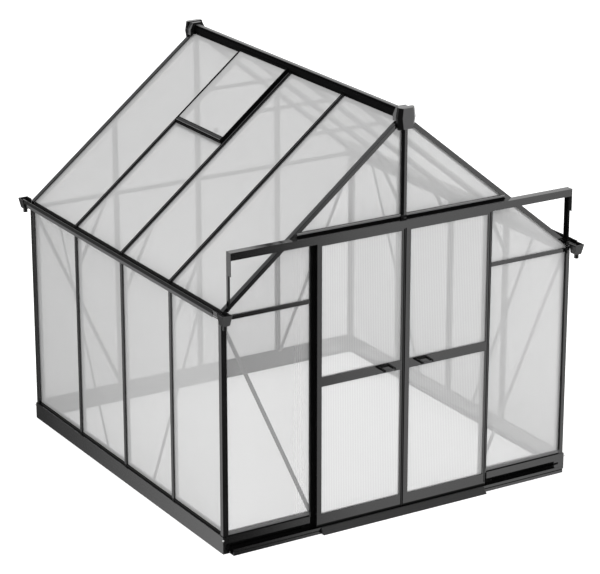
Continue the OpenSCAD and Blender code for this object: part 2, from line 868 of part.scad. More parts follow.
// A leaf seen from the front, its lower left corner over the origin; both leaves are alike
module leaf_frame() {
  shoe = [50, 6, leaf_z0 - track_t - 5];
  axle_r = 3;
  wheel_y = -leaf_back - 7;
  color(frame_col) {
    difference() {
      translate([0, leaf_back - leaf_t, leaf_z0]) cube([leaf_w, leaf_t, leaf_z1 - leaf_z0]);
      for (l = lights) {
        translate([stile_w, leaf_back - leaf_t - cut, l[0]])
          cube([leaf_w - stile_w - slim_w, leaf_t + 2 * cut, l[1] - l[0]]);
        leaf_pane(l);
      }
    }
    for (x = [hanger_in, leaf_w - hanger_in]) {
      translate([x - shoe[0] / 2, leaf_back - (leaf_t + shoe[1]) / 2, leaf_z0 - shoe[2]])
        cube(shoe + [0, 0, cut]);
      translate([x, 0, ledge_z + track_t + 1 + roller_r]) rotate([90, 0, 0]) {
        translate([0, 0, -leaf_back - cut]) cylinder(r = axle_r, h = 9);
        translate([0, 0, wheel_y]) cylinder(r = roller_r, h = 5);
        translate([0, 0, wheel_y]) cylinder(r = axle_r, h = 8);
      }
    }
  }
}

module leaf_pane(l) {
  translate([stile_w - groove, leaf_back - leaf_t / 2 - pane_t / 2, l[0] - groove])
    cube([leaf_w - stile_w - slim_w + 2 * groove, pane_t, l[1] - l[0] + 2 * groove]);
}

module leaf_panes() {
  color(pane_col) for (l = lights) leaf_pane(l);
}

// Door handle: back plate, two legs and a grip, with its left end at x
module leaf_handle(x) {
  plate_h = 16;
  plate_t = 3;
  leg_w = 10;
  leg_h = 12;
  leg_z = 2;
  grip_h = 22;
  grip_t = 8;
  drop = 8;
  z = mid_z + mid_h / 2 + 8;
  color(bow_col) translate([x, leaf_back - leaf_t, z]) {
    translate([0, -plate_t, 0]) cube([handle_l, plate_t, plate_h]);
    for (a = [0, handle_l - leg_w]) translate([a, 0, 0]) rotate([90, 0, 90]) linear_extrude(leg_w)
      polygon([[-plate_t, leg_z], [-plate_t, leg_z + leg_h], [grip_t - handle_d, leg_z + leg_h - drop],
               [grip_t - handle_d, leg_z - drop]]);
    translate([0, -handle_d, leg_z + leg_h - drop - grip_h - 3]) cube([handle_l, grip_t, grip_h]);
  }
}

left_x = joint_x - leaf_gap / 2 - leaf_w;
right_x = joint_x + leaf_gap / 2;

module left_door_frame() {
  translate([left_x, 0, 0]) leaf_frame();
}

module left_door_panes() {
  translate([left_x, 0, 0]) leaf_panes();
}

module left_door_handle() {
  leaf_handle(-left_grip - handle_l);
}

module right_door_frame() {
  translate([right_x, 0, 0]) leaf_frame();
}

module right_door_panes() {
  translate([right_x, 0, 0]) leaf_panes();
}

module right_door_handle() {
  leaf_handle(right_grip);
}

base_left();
base_right();
base_back();
base_front();
base_corners();
threshold_ramp();
door_guide_rail();
corner_posts();
left_wall_posts();
right_wall_posts();
back_wall_posts();
door_posts();
left_gutter();
right_gutter();
gutter_outlets();
ridge_beam();
ridge_caps();
front_gable_rafters();
back_gable_rafters();
left_rafters();
right_rafters();
gable_post();
gable_cross_rail();
eave_rails();
door_track();
track_hangers();
side_wall_braces();
end_wall_braces();
knee_braces();
collar_ties();
left_wall_panes();
right_wall_panes();
back_wall_panes();
front_wall_panes();
left_roof_panes();
right_roof_panes();
vent_frame();
vent_pane();
vent_opener();
left_door_frame();
left_door_panes();
left_door_handle();
right_door_frame();
right_door_panes();
right_door_handle();
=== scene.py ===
"""Dresses the walk-in greenhouse: coated frame, fluted panes, moulded caps and a plain studio around them."""

import logging
import math
from collections.abc import Callable, Iterable
from dataclasses import dataclass, field
from enum import Enum

import bmesh
import bpy
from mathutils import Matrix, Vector


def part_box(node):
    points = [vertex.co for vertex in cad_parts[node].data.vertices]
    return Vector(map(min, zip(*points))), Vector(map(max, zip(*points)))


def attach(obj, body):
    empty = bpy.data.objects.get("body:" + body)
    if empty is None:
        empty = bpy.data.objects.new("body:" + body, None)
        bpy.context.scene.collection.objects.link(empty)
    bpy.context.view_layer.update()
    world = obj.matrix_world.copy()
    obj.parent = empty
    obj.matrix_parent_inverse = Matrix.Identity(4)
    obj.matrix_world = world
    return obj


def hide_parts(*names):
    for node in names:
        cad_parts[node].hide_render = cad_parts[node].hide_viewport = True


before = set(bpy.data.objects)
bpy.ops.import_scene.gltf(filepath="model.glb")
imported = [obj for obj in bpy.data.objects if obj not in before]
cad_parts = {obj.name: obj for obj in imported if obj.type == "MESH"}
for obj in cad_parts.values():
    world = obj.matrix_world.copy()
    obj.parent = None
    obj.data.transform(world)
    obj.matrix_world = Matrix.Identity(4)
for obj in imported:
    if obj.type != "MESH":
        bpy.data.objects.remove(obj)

Point = tuple[float, float, float]

LOG = logging.getLogger("greenhouse")
ROOF_RISE = 0.968  # height of the ridge over the gutter walls
ROOF_RUN = 1.195  # from a gutter wall to the ridge, level
ROOF_SLOPE = math.atan2(ROOF_RISE, ROOF_RUN)
BAY = 0.60675  # from one side wall post or rafter to the next
NEAR = 1e-4  # a corner or edge this near to a plane counts as lying on it
CLOSE = 1e-3  # the same where small bevels have moved the edges
STRAIGHT = 0.9  # share of a direction along an axis over which it counts as straight
LEANING = 0.5  # share over which it counts as leaning that way
TILTED = 0.3  # share over which it counts as tilted that way
FINE_EDGE = 0.0008  # width of the bevel on small trim
RELIEF_DEPTH = 0.001  # depth that a bump of full strength stands for
MIX_FIRST, MIX_SECOND, MIX_RESULT = 6, 7, 2  # the Mix node's sockets for colours
NODE_FINISH = {
    "back_wall_panes": "back_pane",
    "front_wall_panes": "gable_pane",
    "left_door_panes": "door_pane",
    "right_door_panes": "door_pane",
    "left_wall_panes": "side_pane",
    "right_wall_panes": "side_pane",
    "left_roof_panes": "roof_pane",
    "right_roof_panes": "roof_pane",
    "vent_pane": "roof_pane",
    "threshold_ramp": "ramp_rubber",
    "vent_opener": "black_moulding",
    # Vent frame, ridge beam and cross rail take the coat with its reflection turned down, a painted shade
    # that keeps them black.
    "vent_frame": "painted_shade_coat",
    "ridge_beam": "painted_shade_coat",
    "gable_cross_rail": "painted_shade_coat",
    "gutter_outlets": "outlet_moulding",
    "end_wall_braces": "brace_zinc",
}


class Flute(Enum):
    """Axis along which the flutes of a twin-wall pane lie side by side."""

    GABLE = "X"
    SIDE_ROOF = "Y"


class Body(Enum):
    """Body that a piece moves with."""

    FRAME = "frame"
    LEFT_DOOR = "left_door"
    RIGHT_DOOR = "right_door"


def socket(group: bpy.types.NodeTree, name: str, kind: str, into: bool, value: float | None = None) -> None:
    """Adds one socket to a node group.

    Args:
        group: The group that gets the socket.
        name: The socket's name.
        kind: Float, Color or Vector.
        into: True for an input, False for an output.
        value: The input's value where nothing is linked.
    """
    made = group.interface.new_socket(
        name=name, in_out="INPUT" if into else "OUTPUT", socket_type=f"NodeSocket{kind}"
    )
    if value is not None:
        made.default_value = value


@dataclass
class Graph:
    """Short calls that place and link nodes in one node tree."""

    tree: bpy.types.NodeTree

    def add(self, kind: str, **values: object) -> bpy.types.Node:
        """Adds a node and sets its fields.

        Args:
            kind: Name of the node type.
            **values: Fields of the node.

        Returns:
            The new node.
        """
        node = self.tree.nodes.new(kind)
        for name, value in values.items():
            setattr(node, name, value)
        return node

    def math(self, operation: str, *sources: object) -> bpy.types.NodeSocket:
        """Adds a Math node.

        Args:
            operation: What the node does.
            *sources: A socket or a number for each input.

        Returns:
            The node's output.
        """
        node = self.add("ShaderNodeMath", operation=operation)
        for index, source in enumerate(sources):
            self.feed(source, node.inputs[index])
        return node.outputs[0]

    def feed(self, source: object, target: bpy.types.NodeSocket) -> None:
        """Links a socket, or sets a value, into an input.

        Args:
            source: A socket or a plain value.
            target: The input.
        """
        if isinstance(source, bpy.types.NodeSocket):
            self.tree.links.new(source, target)
        else:
            target.default_value = source

    def mix(self, share: object, first: object, second: object) -> bpy.types.NodeSocket:
        """Mixes two colours.

        Args:
            share: Share of the second colour.
            first: The first colour.
            second: The second colour.

        Returns:
            The mixed colour.
        """
        node = self.add("ShaderNodeMix", data_type="RGBA")
        self.feed(share, node.inputs[0])
        self.feed(first, node.inputs[MIX_FIRST])
        self.feed(second, node.inputs[MIX_SECOND])
        return node.outputs[MIX_RESULT]

    def noise(self, vector: object, scale: object, detail: float = 2.0) -> bpy.types.NodeSocket:
        """Adds a noise texture and returns its value.

        Args:
            vector: Where the noise is read.
            scale: Its scale.
            detail: Its detail.

        Returns:
            The noise value.
        """
        node = self.add("ShaderNodeTexNoise")
        self.feed(vector, node.inputs["Vector"])
        self.feed(scale, node.inputs["Scale"])
        node.inputs["Detail"].default_value = detail
        return node.outputs["Fac"]

    def split(self, kind: str = "Object") -> bpy.types.NodeOutputs:
        """Splits the place on the surface, or the way looked at, into its axes.

        Args:
            kind: Output of the coordinate node that is split.

        Returns:
            The outputs X, Y and Z.
        """
        node = self.add("ShaderNodeSeparateXYZ")
        self.feed(self.add("ShaderNodeTexCoord").outputs[kind], node.inputs[0])
        return node.outputs

    def ramp(self, value: object, start: float, end: float, curve: str = "LINEAR") -> bpy.types.NodeSocket:
        """Rises from 0 to 1 between two values.

        Args:
            value: What is measured.
            start: Where the rise starts.
            end: Where it ends.
            curve: Form of the rise.

        Returns:
            How far the value has risen.
        """
        node = self.add("ShaderNodeMapRange", interpolation_type=curve)
        self.feed(value, node.inputs["Value"])
        node.inputs["From Min"].default_value = start
        node.inputs["From Max"].default_value = end
        return node.outputs["Result"]

    def bump(self, height: object, strength: float) -> bpy.types.NodeSocket:
        """Turns a height into a normal.

        Args:
            height: The height.
            strength: Strength of the relief.

        Returns:
            The normal.
        """
        node = self.add("ShaderNodeBump")
        self.feed(height, node.inputs["Height"])
        node.inputs["Strength"].default_value = strength
        node.inputs["Distance"].default_value = RELIEF_DEPTH
        return node.outputs["Normal"]


def started(name: str) -> tuple[bpy.types.Material, Graph, bpy.types.NodeInputs]:
    """Starts a material.

    Args:
        name: Its name.

    Returns:
        The material, the graph of its nodes, and its shader's inputs.
    """
    material = bpy.data.materials.new(name)
    material.use_nodes = True
    g = Graph(material.node_tree)
    return material, g, g.tree.nodes["Principled BSDF"].inputs


def make_coat_group() -> bpy.types.NodeTree:
    """Builds the group that gives coated metal and moulded plastic their fine grain and faint dust.

    Returns:
        The node group, with Colour, Roughness and Height outputs.
    """
    patch_scale, patch_detail = 5.0, 4.0
    dust_from, dust_gain = 0.45, 2.0
    dust_colour = (0.32, 0.31, 0.29, 1.0)
    roughness_swing = 0.06
    group = bpy.data.node_groups.new("coat_grain", "ShaderNodeTree")
    socket(group, "Colour", "Color", True)
    socket(group, "Roughness", "Float", True, 0.45)
    socket(group, "Grain", "Float", True, 900.0)
    socket(group, "Dust", "Float", True, 0.1)
    socket(group, "Colour", "Color", False)
    socket(group, "Roughness", "Float", False)
    socket(group, "Height", "Float", False)
    g = Graph(group)
    given = g.add("NodeGroupInput").outputs
    result = g.add("NodeGroupOutput").inputs
    place = g.add("ShaderNodeTexCoord").outputs["Object"]
    patches = g.noise(place, patch_scale, patch_detail)
    cloud = g.math("MULTIPLY", g.math("SUBTRACT", patches, dust_from), dust_gain)
    dust = g.math("MULTIPLY", g.math("MAXIMUM", cloud, 0.0), given["Dust"])
    g.feed(g.mix(dust, given["Colour"], dust_colour), result["Colour"])
    swing = g.math("MULTIPLY", g.math("SUBTRACT", patches, 0.5), roughness_swing)
    g.feed(g.math("ADD", given["Roughness"], swing), result["Roughness"])
    g.feed(g.noise(place, given["Grain"]), result["Height"])
    return group


@dataclass(frozen=True)
class CoatFinish:
    """Powder coat or moulded plastic, plain in colour with a fine grain.

    From right_reach left of the middle to right_reach right of it, the colour grows to its multiple, right:
    painted light, brighter towards the right.
    """

    name: str
    colour: tuple[float, float, float]
    roughness: float
    specular: float = 0.5
    ior: float = 1.5
    grain: float = 900.0
    bump: float = 0.05
    dust: float = 0.1
    right: float = 1.0
    right_reach: float = 0.6

    def build(self, group: bpy.types.NodeTree) -> bpy.types.Material:
        """Makes the material.

        Args:
            group: The coat grain group.

        Returns:
            The new material.
        """
        material, g, shader = started(self.name)
        grain = g.add("ShaderNodeGroup", node_tree=group)
        grain.inputs["Colour"].default_value = (*self.colour, 1.0)
        grain.inputs["Roughness"].default_value = self.roughness
        grain.inputs["Grain"].default_value = self.grain
        grain.inputs["Dust"].default_value = self.dust
        colour = grain.outputs["Colour"]
        # Painted light: the colour grows towards the right.
        if self.right != 1.0:
            aside = g.ramp(g.split()["X"], -self.right_reach, self.right_reach)
            colour = g.mix(aside, colour, (*(self.right * c for c in self.colour), 1.0))
        g.feed(colour, shader["Base Color"])
        g.feed(grain.outputs["Roughness"], shader["Roughness"])
        g.feed(g.bump(grain.outputs["Height"], self.bump), shader["Normal"])
        shader["Specular IOR Level"].default_value = self.specular
        shader["IOR"].default_value = self.ior
        return material


@dataclass(frozen=True)
class PaneFinish:
    """Clear twin-wall sheet: milky, with fine ribs along its flutes.

    The cover grows by drift for each metre to the right. Towards the left the colour darkens by a factor:
    painted shade.
    """

    name: str
    flute: Flute
    colour: tuple[float, float, float] = (0.87, 0.87, 0.87)
    cover: float = 0.36
    rib_cover: float = 0.16
    pitch: float = 0.0118
    rib: float = 0.28
    roughness: float = 0.5
    specular: float = 0.1
    drift: float = 0.0
    rib_shade: float = 0.9
    relief: float = 0.05
    painted_shade_left: float = 1.0
    left_from: float = -0.5
    left_to: float = -0.75
    haze_scale: float = 2.0
    haze_detail: float = 3.0
    haze_cover: float = 0.04
    haze_roughness: float = 0.1
    ior: float = 1.45

    def build(self) -> bpy.types.Material:
        """Makes the material.

        Returns:
            The new material.
        """
        material, g, shader = started(self.name)
        axes = g.split()
        phase = g.math("FRACT", g.math("DIVIDE", axes[self.flute.value], self.pitch))
        rib = g.math("LESS_THAN", phase, self.rib)
        haze = g.noise(g.add("ShaderNodeTexCoord").outputs["Object"], self.haze_scale, self.haze_detail)
        cover = g.math("ADD", self.cover, g.math("MULTIPLY", rib, self.rib_cover))
        swing = g.math("MULTIPLY", g.math("SUBTRACT", haze, 0.5), self.haze_cover)
        cover = g.math("ADD", cover, swing)
        cover = g.math("ADD", cover, g.math("MULTIPLY", axes["X"], self.drift))
        g.feed(cover, shader["Alpha"])
        colour = g.mix(rib, (*self.colour, 1.0), (*(self.rib_shade * c for c in self.colour), 1.0))
        # Painted shade: the colour darkens towards the left.
        if self.painted_shade_left != 1.0:
            aside = g.ramp(axes["X"], self.left_from, self.left_to)
            colour = g.mix(aside, colour, (*(self.painted_shade_left * c for c in self.colour), 1.0))
        g.feed(colour, shader["Base Color"])
        g.feed(g.bump(rib, self.relief), shader["Normal"])
        rough = g.math("ADD", self.roughness, g.math("MULTIPLY", haze, self.haze_roughness))
        g.feed(rough, shader["Roughness"])
        shader["Transmission Weight"].default_value = 0.0
        shader["IOR"].default_value = self.ior
        shader["Specular IOR Level"].default_value = self.specular
        return material


@dataclass
class Bench:
    """One mesh at a time, made from a primitive and shaped with the modelling operators."""

    name: str
    obj: bpy.types.Object | None = None

    def box(self, low: Point, high: Point) -> "Bench":
        """Starts from a cube that fills a box.

        Args:
            low: The box's lowest corner.
            high: Its highest corner.

        Returns:
            The bench, in edit mode.
        """
        bpy.ops.object.select_all(action="DESELECT")
        middle = [(a + b) / 2 for a, b in zip(low, high)]
        bpy.ops.mesh.primitive_cube_add(size=1.0, location=middle)
        bpy.context.object.scale = [b - a for a, b in zip(low, high)]
        return self.open()

    def drum(self, centre: Point, radius: float, depth: float, axis: str = "Z", sides: int = 24) -> "Bench":
        """Starts from a cylinder.

        Args:
            centre: Its middle.
            radius: Its radius.
            depth: Its length.
            axis: X, Y or Z, the way it lies.
            sides: How many sides it has.

        Returns:
            The bench, in edit mode.
        """
        bpy.ops.object.select_all(action="DESELECT")
        quarter = math.pi / 2
        turn = {"X": (0.0, quarter, 0.0), "Y": (quarter, 0.0, 0.0), "Z": (0.0, 0.0, 0.0)}[axis]
        bpy.ops.mesh.primitive_cylinder_add(
            vertices=sides, radius=radius, depth=depth, location=centre, rotation=turn
        )
        return self.open()

    def open(self) -> "Bench":
        """Applies the primitive's place and enters edit mode.

        Returns:
            The bench.
        """
        self.obj = bpy.context.object
        self.obj.name = self.name
        bpy.ops.object.transform_apply(location=True, rotation=True, scale=True)
        bpy.ops.object.mode_set(mode="EDIT")
        return self

    def cut(self, point: Point, normal: Point) -> "Bench":
        """Cuts new edges where a plane crosses the mesh.

        Args:
            point: A point on the plane.
            normal: The plane's normal.

        Returns:
            The bench.
        """
        self.whole()
        bpy.ops.mesh.bisect(plane_co=point, plane_no=normal)
        return self

    def whole(self) -> "Bench":
        """Selects everything."""
        bpy.ops.mesh.select_all(action="SELECT")
        return self

    def faces(self, wanted: Callable[[Vector, Vector], bool]) -> "Bench":
        """Selects faces.

        Args:
            wanted: Says from a face's middle and normal whether it is selected.

        Returns:
            The bench.
        """
        bpy.ops.mesh.select_mode(type="FACE")
        bpy.ops.mesh.select_all(action="DESELECT")
        mesh = bmesh.from_edit_mesh(self.obj.data)
        for face in mesh.faces:
            face.select_set(wanted(face.calc_center_median(), face.normal))
        bmesh.update_edit_mesh(self.obj.data)
        return self

    def edges(self, wanted: Callable[[Vector, Vector], bool]) -> "Bench":
        """Selects edges.

        Args:
            wanted: Says from an edge's middle and direction whether it is selected.

        Returns:
            The bench.
        """
        bpy.ops.mesh.select_mode(type="EDGE")
        bpy.ops.mesh.select_all(action="DESELECT")
        mesh = bmesh.from_edit_mesh(self.obj.data)
        for edge in mesh.edges:
            first, second = (v.co for v in edge.verts)
            edge.select_set(wanted((first + second) / 2, (second - first).normalized()))
        bmesh.update_edit_mesh(self.obj.data)
        return self

    def points(self, wanted: Callable[[Vector], bool]) -> "Bench":
        """Selects corners.

        Args:
            wanted: Says from a corner's place whether it is selected.

        Returns:
            The bench.
        """
        bpy.ops.mesh.select_mode(type="VERT")
        bpy.ops.mesh.select_all(action="DESELECT")
        mesh = bmesh.from_edit_mesh(self.obj.data)
        for corner in mesh.verts:
            corner.select_set(wanted(corner.co))
        mesh.select_flush_mode()
        bmesh.update_edit_mesh(self.obj.data)
        return self

    def move(self, by: Point) -> "Bench":
        """Moves what is selected."""
        bpy.ops.transform.translate(value=by)
        return self

    def stretch(self, factors: Point, centre: Point) -> "Bench":
        """Scales what is selected by a factor along each axis, about a centre that stays."""
        bpy.ops.transform.resize(value=factors, center_override=centre)
        return self

    def turn(self, angle: float, axis: str, centre: Point) -> "Bench":
        """Turns what is selected by an angle in radians, about an axis through a centre that stays."""
        bpy.ops.transform.rotate(value=angle, orient_axis=axis, center_override=centre)
        return self

    def inset(self, thickness: float, depth: float = 0.0) -> "Bench":
        """Insets the selected faces by the width of a border, and moves them outward by a depth."""
        bpy.ops.mesh.inset(thickness=thickness, depth=depth)
        return self

    def bevel(self, width: float, segments: int = 2) -> "Bench":
        """Bevels the selected edges by a width, in steps."""
        bpy.ops.mesh.bevel(offset=width, segments=segments, affect="EDGES", clamp_overlap=True)
        return self

    def done(
        self, material: bpy.types.Material, second: bpy.types.Material | None = None, smooth: float = 35.0
    ) -> bpy.types.Object:
        """Leaves edit mode; faces that are still selected get the second material.

        Args:
            material: The piece's material.
            second: Material of the faces selected last.
            smooth: Angle in degrees below which edges are shaded smooth.

        Returns:
            The piece.
        """
        self.obj.data.materials.append(material)
        if second:
            self.obj.data.materials.append(second)
            self.obj.active_material_index = 1
            bpy.ops.object.material_slot_assign()
        self.whole()
        bpy.ops.mesh.normals_make_consistent(inside=False)
        bpy.ops.object.mode_set(mode="OBJECT")
        bpy.ops.object.shade_smooth_by_angle(angle=math.radians(smooth))
        return self.obj


def copied(
    source: bpy.types.Object, name: str, shift: Point = (0.0, 0.0, 0.0), mirror: str = ""
) -> bpy.types.Object:
    """Copies a piece with its own mesh.

    Args:
        source: The piece, not riding yet.
        name: The copy's name.
        shift: How far the copy moves, after it is mirrored.
        mirror: Axes that change sign, such as XY.

    Returns:
        The copy.
    """
    bpy.ops.object.select_all(action="DESELECT")
    source.select_set(True)
    bpy.context.view_layer.objects.active = source
    bpy.ops.object.duplicate()
    obj = bpy.context.object
    obj.name = name
    obj.location = shift
    obj.scale = [-1.0 if axis in mirror else 1.0 for axis in "XYZ"]
    bpy.ops.object.transform_apply(location=True, rotation=True, scale=True)
    bpy.ops.object.mode_set(mode="EDIT")
    bpy.ops.mesh.select_all(action="SELECT")
    bpy.ops.mesh.normals_make_consistent(inside=False)
    bpy.ops.object.mode_set(mode="OBJECT")
    return obj


def joined(name: str, parts: Iterable[bpy.types.Object]) -> bpy.types.Object:
    """Joins pieces into one.

    Args:
        name: The joined piece's name.
        parts: The pieces.

    Returns:
        The joined piece.
    """
    parts = list(parts)
    bpy.ops.object.select_all(action="DESELECT")
    for part in parts:
        part.select_set(True)
    bpy.context.view_layer.objects.active = parts[0]
    if len(parts) > 1:
        bpy.ops.object.join()
    obj = bpy.context.object
    obj.name = name
    return obj


def fitted(obj: bpy.types.Object, body: Body, *nodes: str) -> bpy.types.Object:
    """Fixes a finished piece to its body, in place of nodes where it stands for them.

    Args:
        obj: The piece.
        body: The body it moves with.
        *nodes: Nodes it stands for.

    Returns:
        The piece.
    """
    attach(obj, body.value)
    if nodes:
        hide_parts(*nodes)
    LOG.info("%s: %d faces on %s", obj.name, len(obj.data.polygons), body.value)
    return obj


@dataclass
class Palette:
    """Every finish of the greenhouse."""

    coat: bpy.types.NodeTree = field(default_factory=make_coat_group)
    made: dict[str, bpy.types.Material] = field(default_factory=dict)

    def __post_init__(self) -> None:
        """Builds the materials."""
        finishes = (
            CoatFinish(
                "anthracite_coat", (0.004, 0.004, 0.0041), 0.08, specular=0.9, ior=1.55, bump=0.01, dust=0.003
            ),
            # The coat again with almost no reflection: painted shade for parts that read black.
            CoatFinish("painted_shade_coat", (0.003, 0.003, 0.0031), 0.5, specular=0.02, bump=0.01, dust=0.002),
            CoatFinish("verge_coat", (0.06, 0.06, 0.061), 0.4, specular=0.1, bump=0.01, dust=0.004),
            CoatFinish("rib_coat", (0.042, 0.042, 0.043), 0.4, specular=0.1, bump=0.01, dust=0.004),
            # Pale coat for painted highlights: the ridge crown and the gutter's outer face.
            CoatFinish("painted_highlight_coat", (0.09, 0.09, 0.091), 0.4, specular=0.5, bump=0.01, dust=0.004),
            CoatFinish("cap_moulding", (0.05, 0.05, 0.051), 0.15, specular=0.85, bump=0.03, dust=0.004),
            CoatFinish("outlet_moulding", (0.008, 0.008, 0.008), 0.32, specular=0.8, bump=0.02, dust=0.004),
            CoatFinish("black_moulding", (0.004, 0.004, 0.004), 0.4, specular=0.2, bump=0.02, dust=0.0),
            # Pale grey for painted highlights on lit edges: glazing strips, vent rail and cross rail.
            CoatFinish("painted_highlight_grey", (0.13, 0.13, 0.131), 0.35, specular=0.9, bump=0.01, dust=0.01),
            # Brace colour grows sevenfold towards the right: painted light.
            CoatFinish("brace_zinc", (0.04, 0.04, 0.04), 0.35, specular=0.4, bump=0.05, dust=0.02, right=7.0),
            CoatFinish("bolt_steel", (0.6, 0.6, 0.6), 0.25, specular=1.0, bump=0.02, dust=0.0),
            CoatFinish("ramp_rubber", (0.03, 0.03, 0.03), 0.7, specular=0.3, bump=0.2, dust=0.02),
        )
        for finish in finishes:
            self.made[finish.name] = finish.build(self.coat)
        panes = (
            PaneFinish(
                "gable_pane", Flute.GABLE, cover=0.36, rib_cover=0.02, drift=0.075,
                # The last factor darkens the gable panes towards the left: painted shade.
                rib_shade=0.97, relief=0.01, painted_shade_left=0.78,
            ),
            # Back, side and roof panes below get darker colours than the gable and door panes of the same
            # sheet: painted shade.
            PaneFinish("back_pane", Flute.GABLE, colour=(0.78, 0.78, 0.78), cover=0.46, rib_cover=0.04),
            PaneFinish("door_pane", Flute.GABLE, rib_cover=0.12),
            PaneFinish("side_pane", Flute.SIDE_ROOF, colour=(0.66, 0.66, 0.66), cover=0.52, rib_cover=0.05),
            PaneFinish("roof_pane", Flute.SIDE_ROOF, colour=(0.67, 0.67, 0.67), cover=0.52, rib_cover=0.05),
        )
        for finish in panes:
            self.made[finish.name] = finish.build()

    def __getitem__(self, name: str) -> bpy.types.Material:
        """Looks a material up by its name."""
        return self.made[name]


def both_sides(left: bpy.types.Object, right_name: str) -> None:
    """Fixes a left piece and its mirror image to the frame.

    Args:
        left: The left piece.
        right_name: Name of the mirror image.
    """
    right = copied(left, right_name, mirror="X")
    fitted(left, Body.FRAME)
    fitted(right, Body.FRAME)


@dataclass
class RidgeCaps:
    """Moulded caps over the ends of the ridge: a faceted boss in front of the gable, a hood behind it."""

    palette: Palette
    boss_half: float = 0.062
    boss_depth: float = 0.040
    boss_top: float = 0.84
    boss_foot: float = 0.8
    waist_lift: float = 0.006
    nose: float = 0.020
    border: float = 0.021
    rim: float = 0.03
    nose_top: float = 0.019
    nose_foot: float = -0.015
    hood_depth: float = 0.040
    hood_drop: float = 0.087
    hood_crown: float = 0.003
    crown_share: float = 0.6
    eaves_drop: float = 0.048
    hood_rise: float = 0.0405
    groove: float = 0.004
    groove_depth: float = -0.0015
    edge_round: float = 0.002
    smooth: float = 15.0

    def finished(self, bench: Bench) -> bpy.types.Object:
        """Gives a part of the cap its finish, with the selected faces black."""
        return bench.done(self.palette["cap_moulding"], self.palette["black_moulding"], smooth=self.smooth)

    def boss(self, low: Vector, high: Vector) -> bpy.types.Object:
        """Models the front cap's boss.

        Args:
            low: Lowest corner of both caps.
            high: Highest corner of both caps.

        Returns:
            The boss.
        """
        front = low.y
        back = front + self.boss_depth
        waist = (low.z + high.z) / 2 + self.waist_lift
        bench = Bench("boss").box((-self.boss_half, front + self.nose, low.z), (self.boss_half, back, high.z))
        bench.cut((0.0, 0.0, waist), (0.0, 0.0, 1.0))
        bench.points(lambda p: p.z > high.z - NEAR).stretch((self.boss_top, 1.0, 1.0), (0.0, back, high.z))
        bench.points(lambda p: p.z < low.z + NEAR).stretch((self.boss_foot, 1.0, 1.0), (0.0, back, low.z))
        bench.faces(lambda m, n: n.y < -STRAIGHT).inset(self.border, self.nose)
        bench.points(lambda p: p.y < front + NEAR and p.z > high.z - self.rim).move((0.0, 0.0, self.nose_top))
        bench.points(lambda p: p.y < front + NEAR and p.z < low.z + self.rim).move((0.0, 0.0, self.nose_foot))
        bench.edges(lambda m, d: m.y < front + CLOSE).bevel(FINE_EDGE, 1)
        # Back faces and the boss's left-facing facets get the black material; on the facets this is painted
        # shade.
        bench.faces(lambda m, n: n.y > LEANING or (n.x < -TILTED and m.y < back - CLOSE))
        return self.finished(bench)

    def hood(self, low: Vector, high: Vector) -> bpy.types.Object:
        """Models the front cap's hood, which bridges the ridge.

        Args:
            low: Lowest corner of both caps.
            high: Highest corner of both caps.

        Returns:
            The hood.
        """
        front = low.y + self.boss_depth
        foot = high.z - self.hood_drop
        crown = high.z - self.hood_crown
        bench = Bench("hood").box((low.x, front, foot), (high.x, front + self.hood_depth, crown))
        bench.cut((0.0, 0.0, 0.0), (1.0, 0.0, 0.0))
        bench.cut((0.0, 0.0, high.z - self.eaves_drop), (0.0, 0.0, 1.0))
        bench.points(lambda p: abs(p.x) < NEAR and p.z < foot + NEAR).move((0.0, 0.0, self.hood_rise))
        bench.points(lambda p: p.z > crown - NEAR).stretch((self.crown_share, 1.0, 1.0), (0.0, front, high.z))
        bench.faces(lambda m, n: n.z > TILTED or (abs(n.x) > LEANING and m.z > foot))
        bench.inset(self.groove, self.groove_depth)
        bench.edges(lambda m, d: abs(d.y) > STRAIGHT).bevel(self.edge_round, 2)
        bench.faces(lambda m, n: n.y > LEANING)
        return self.finished(bench)

    def build(self) -> None:
        """Models the front cap and mirrors it to the back."""
        low, high = (Vector(v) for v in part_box("ridge_caps"))
        front = joined("ridge_cap_front", [self.boss(low, high), self.hood(low, high)])
        back = copied(front, "ridge_cap_back", mirror="Y")
        fitted(joined("ridge_cap_pair", [front, back]), Body.FRAME, "ridge_caps")


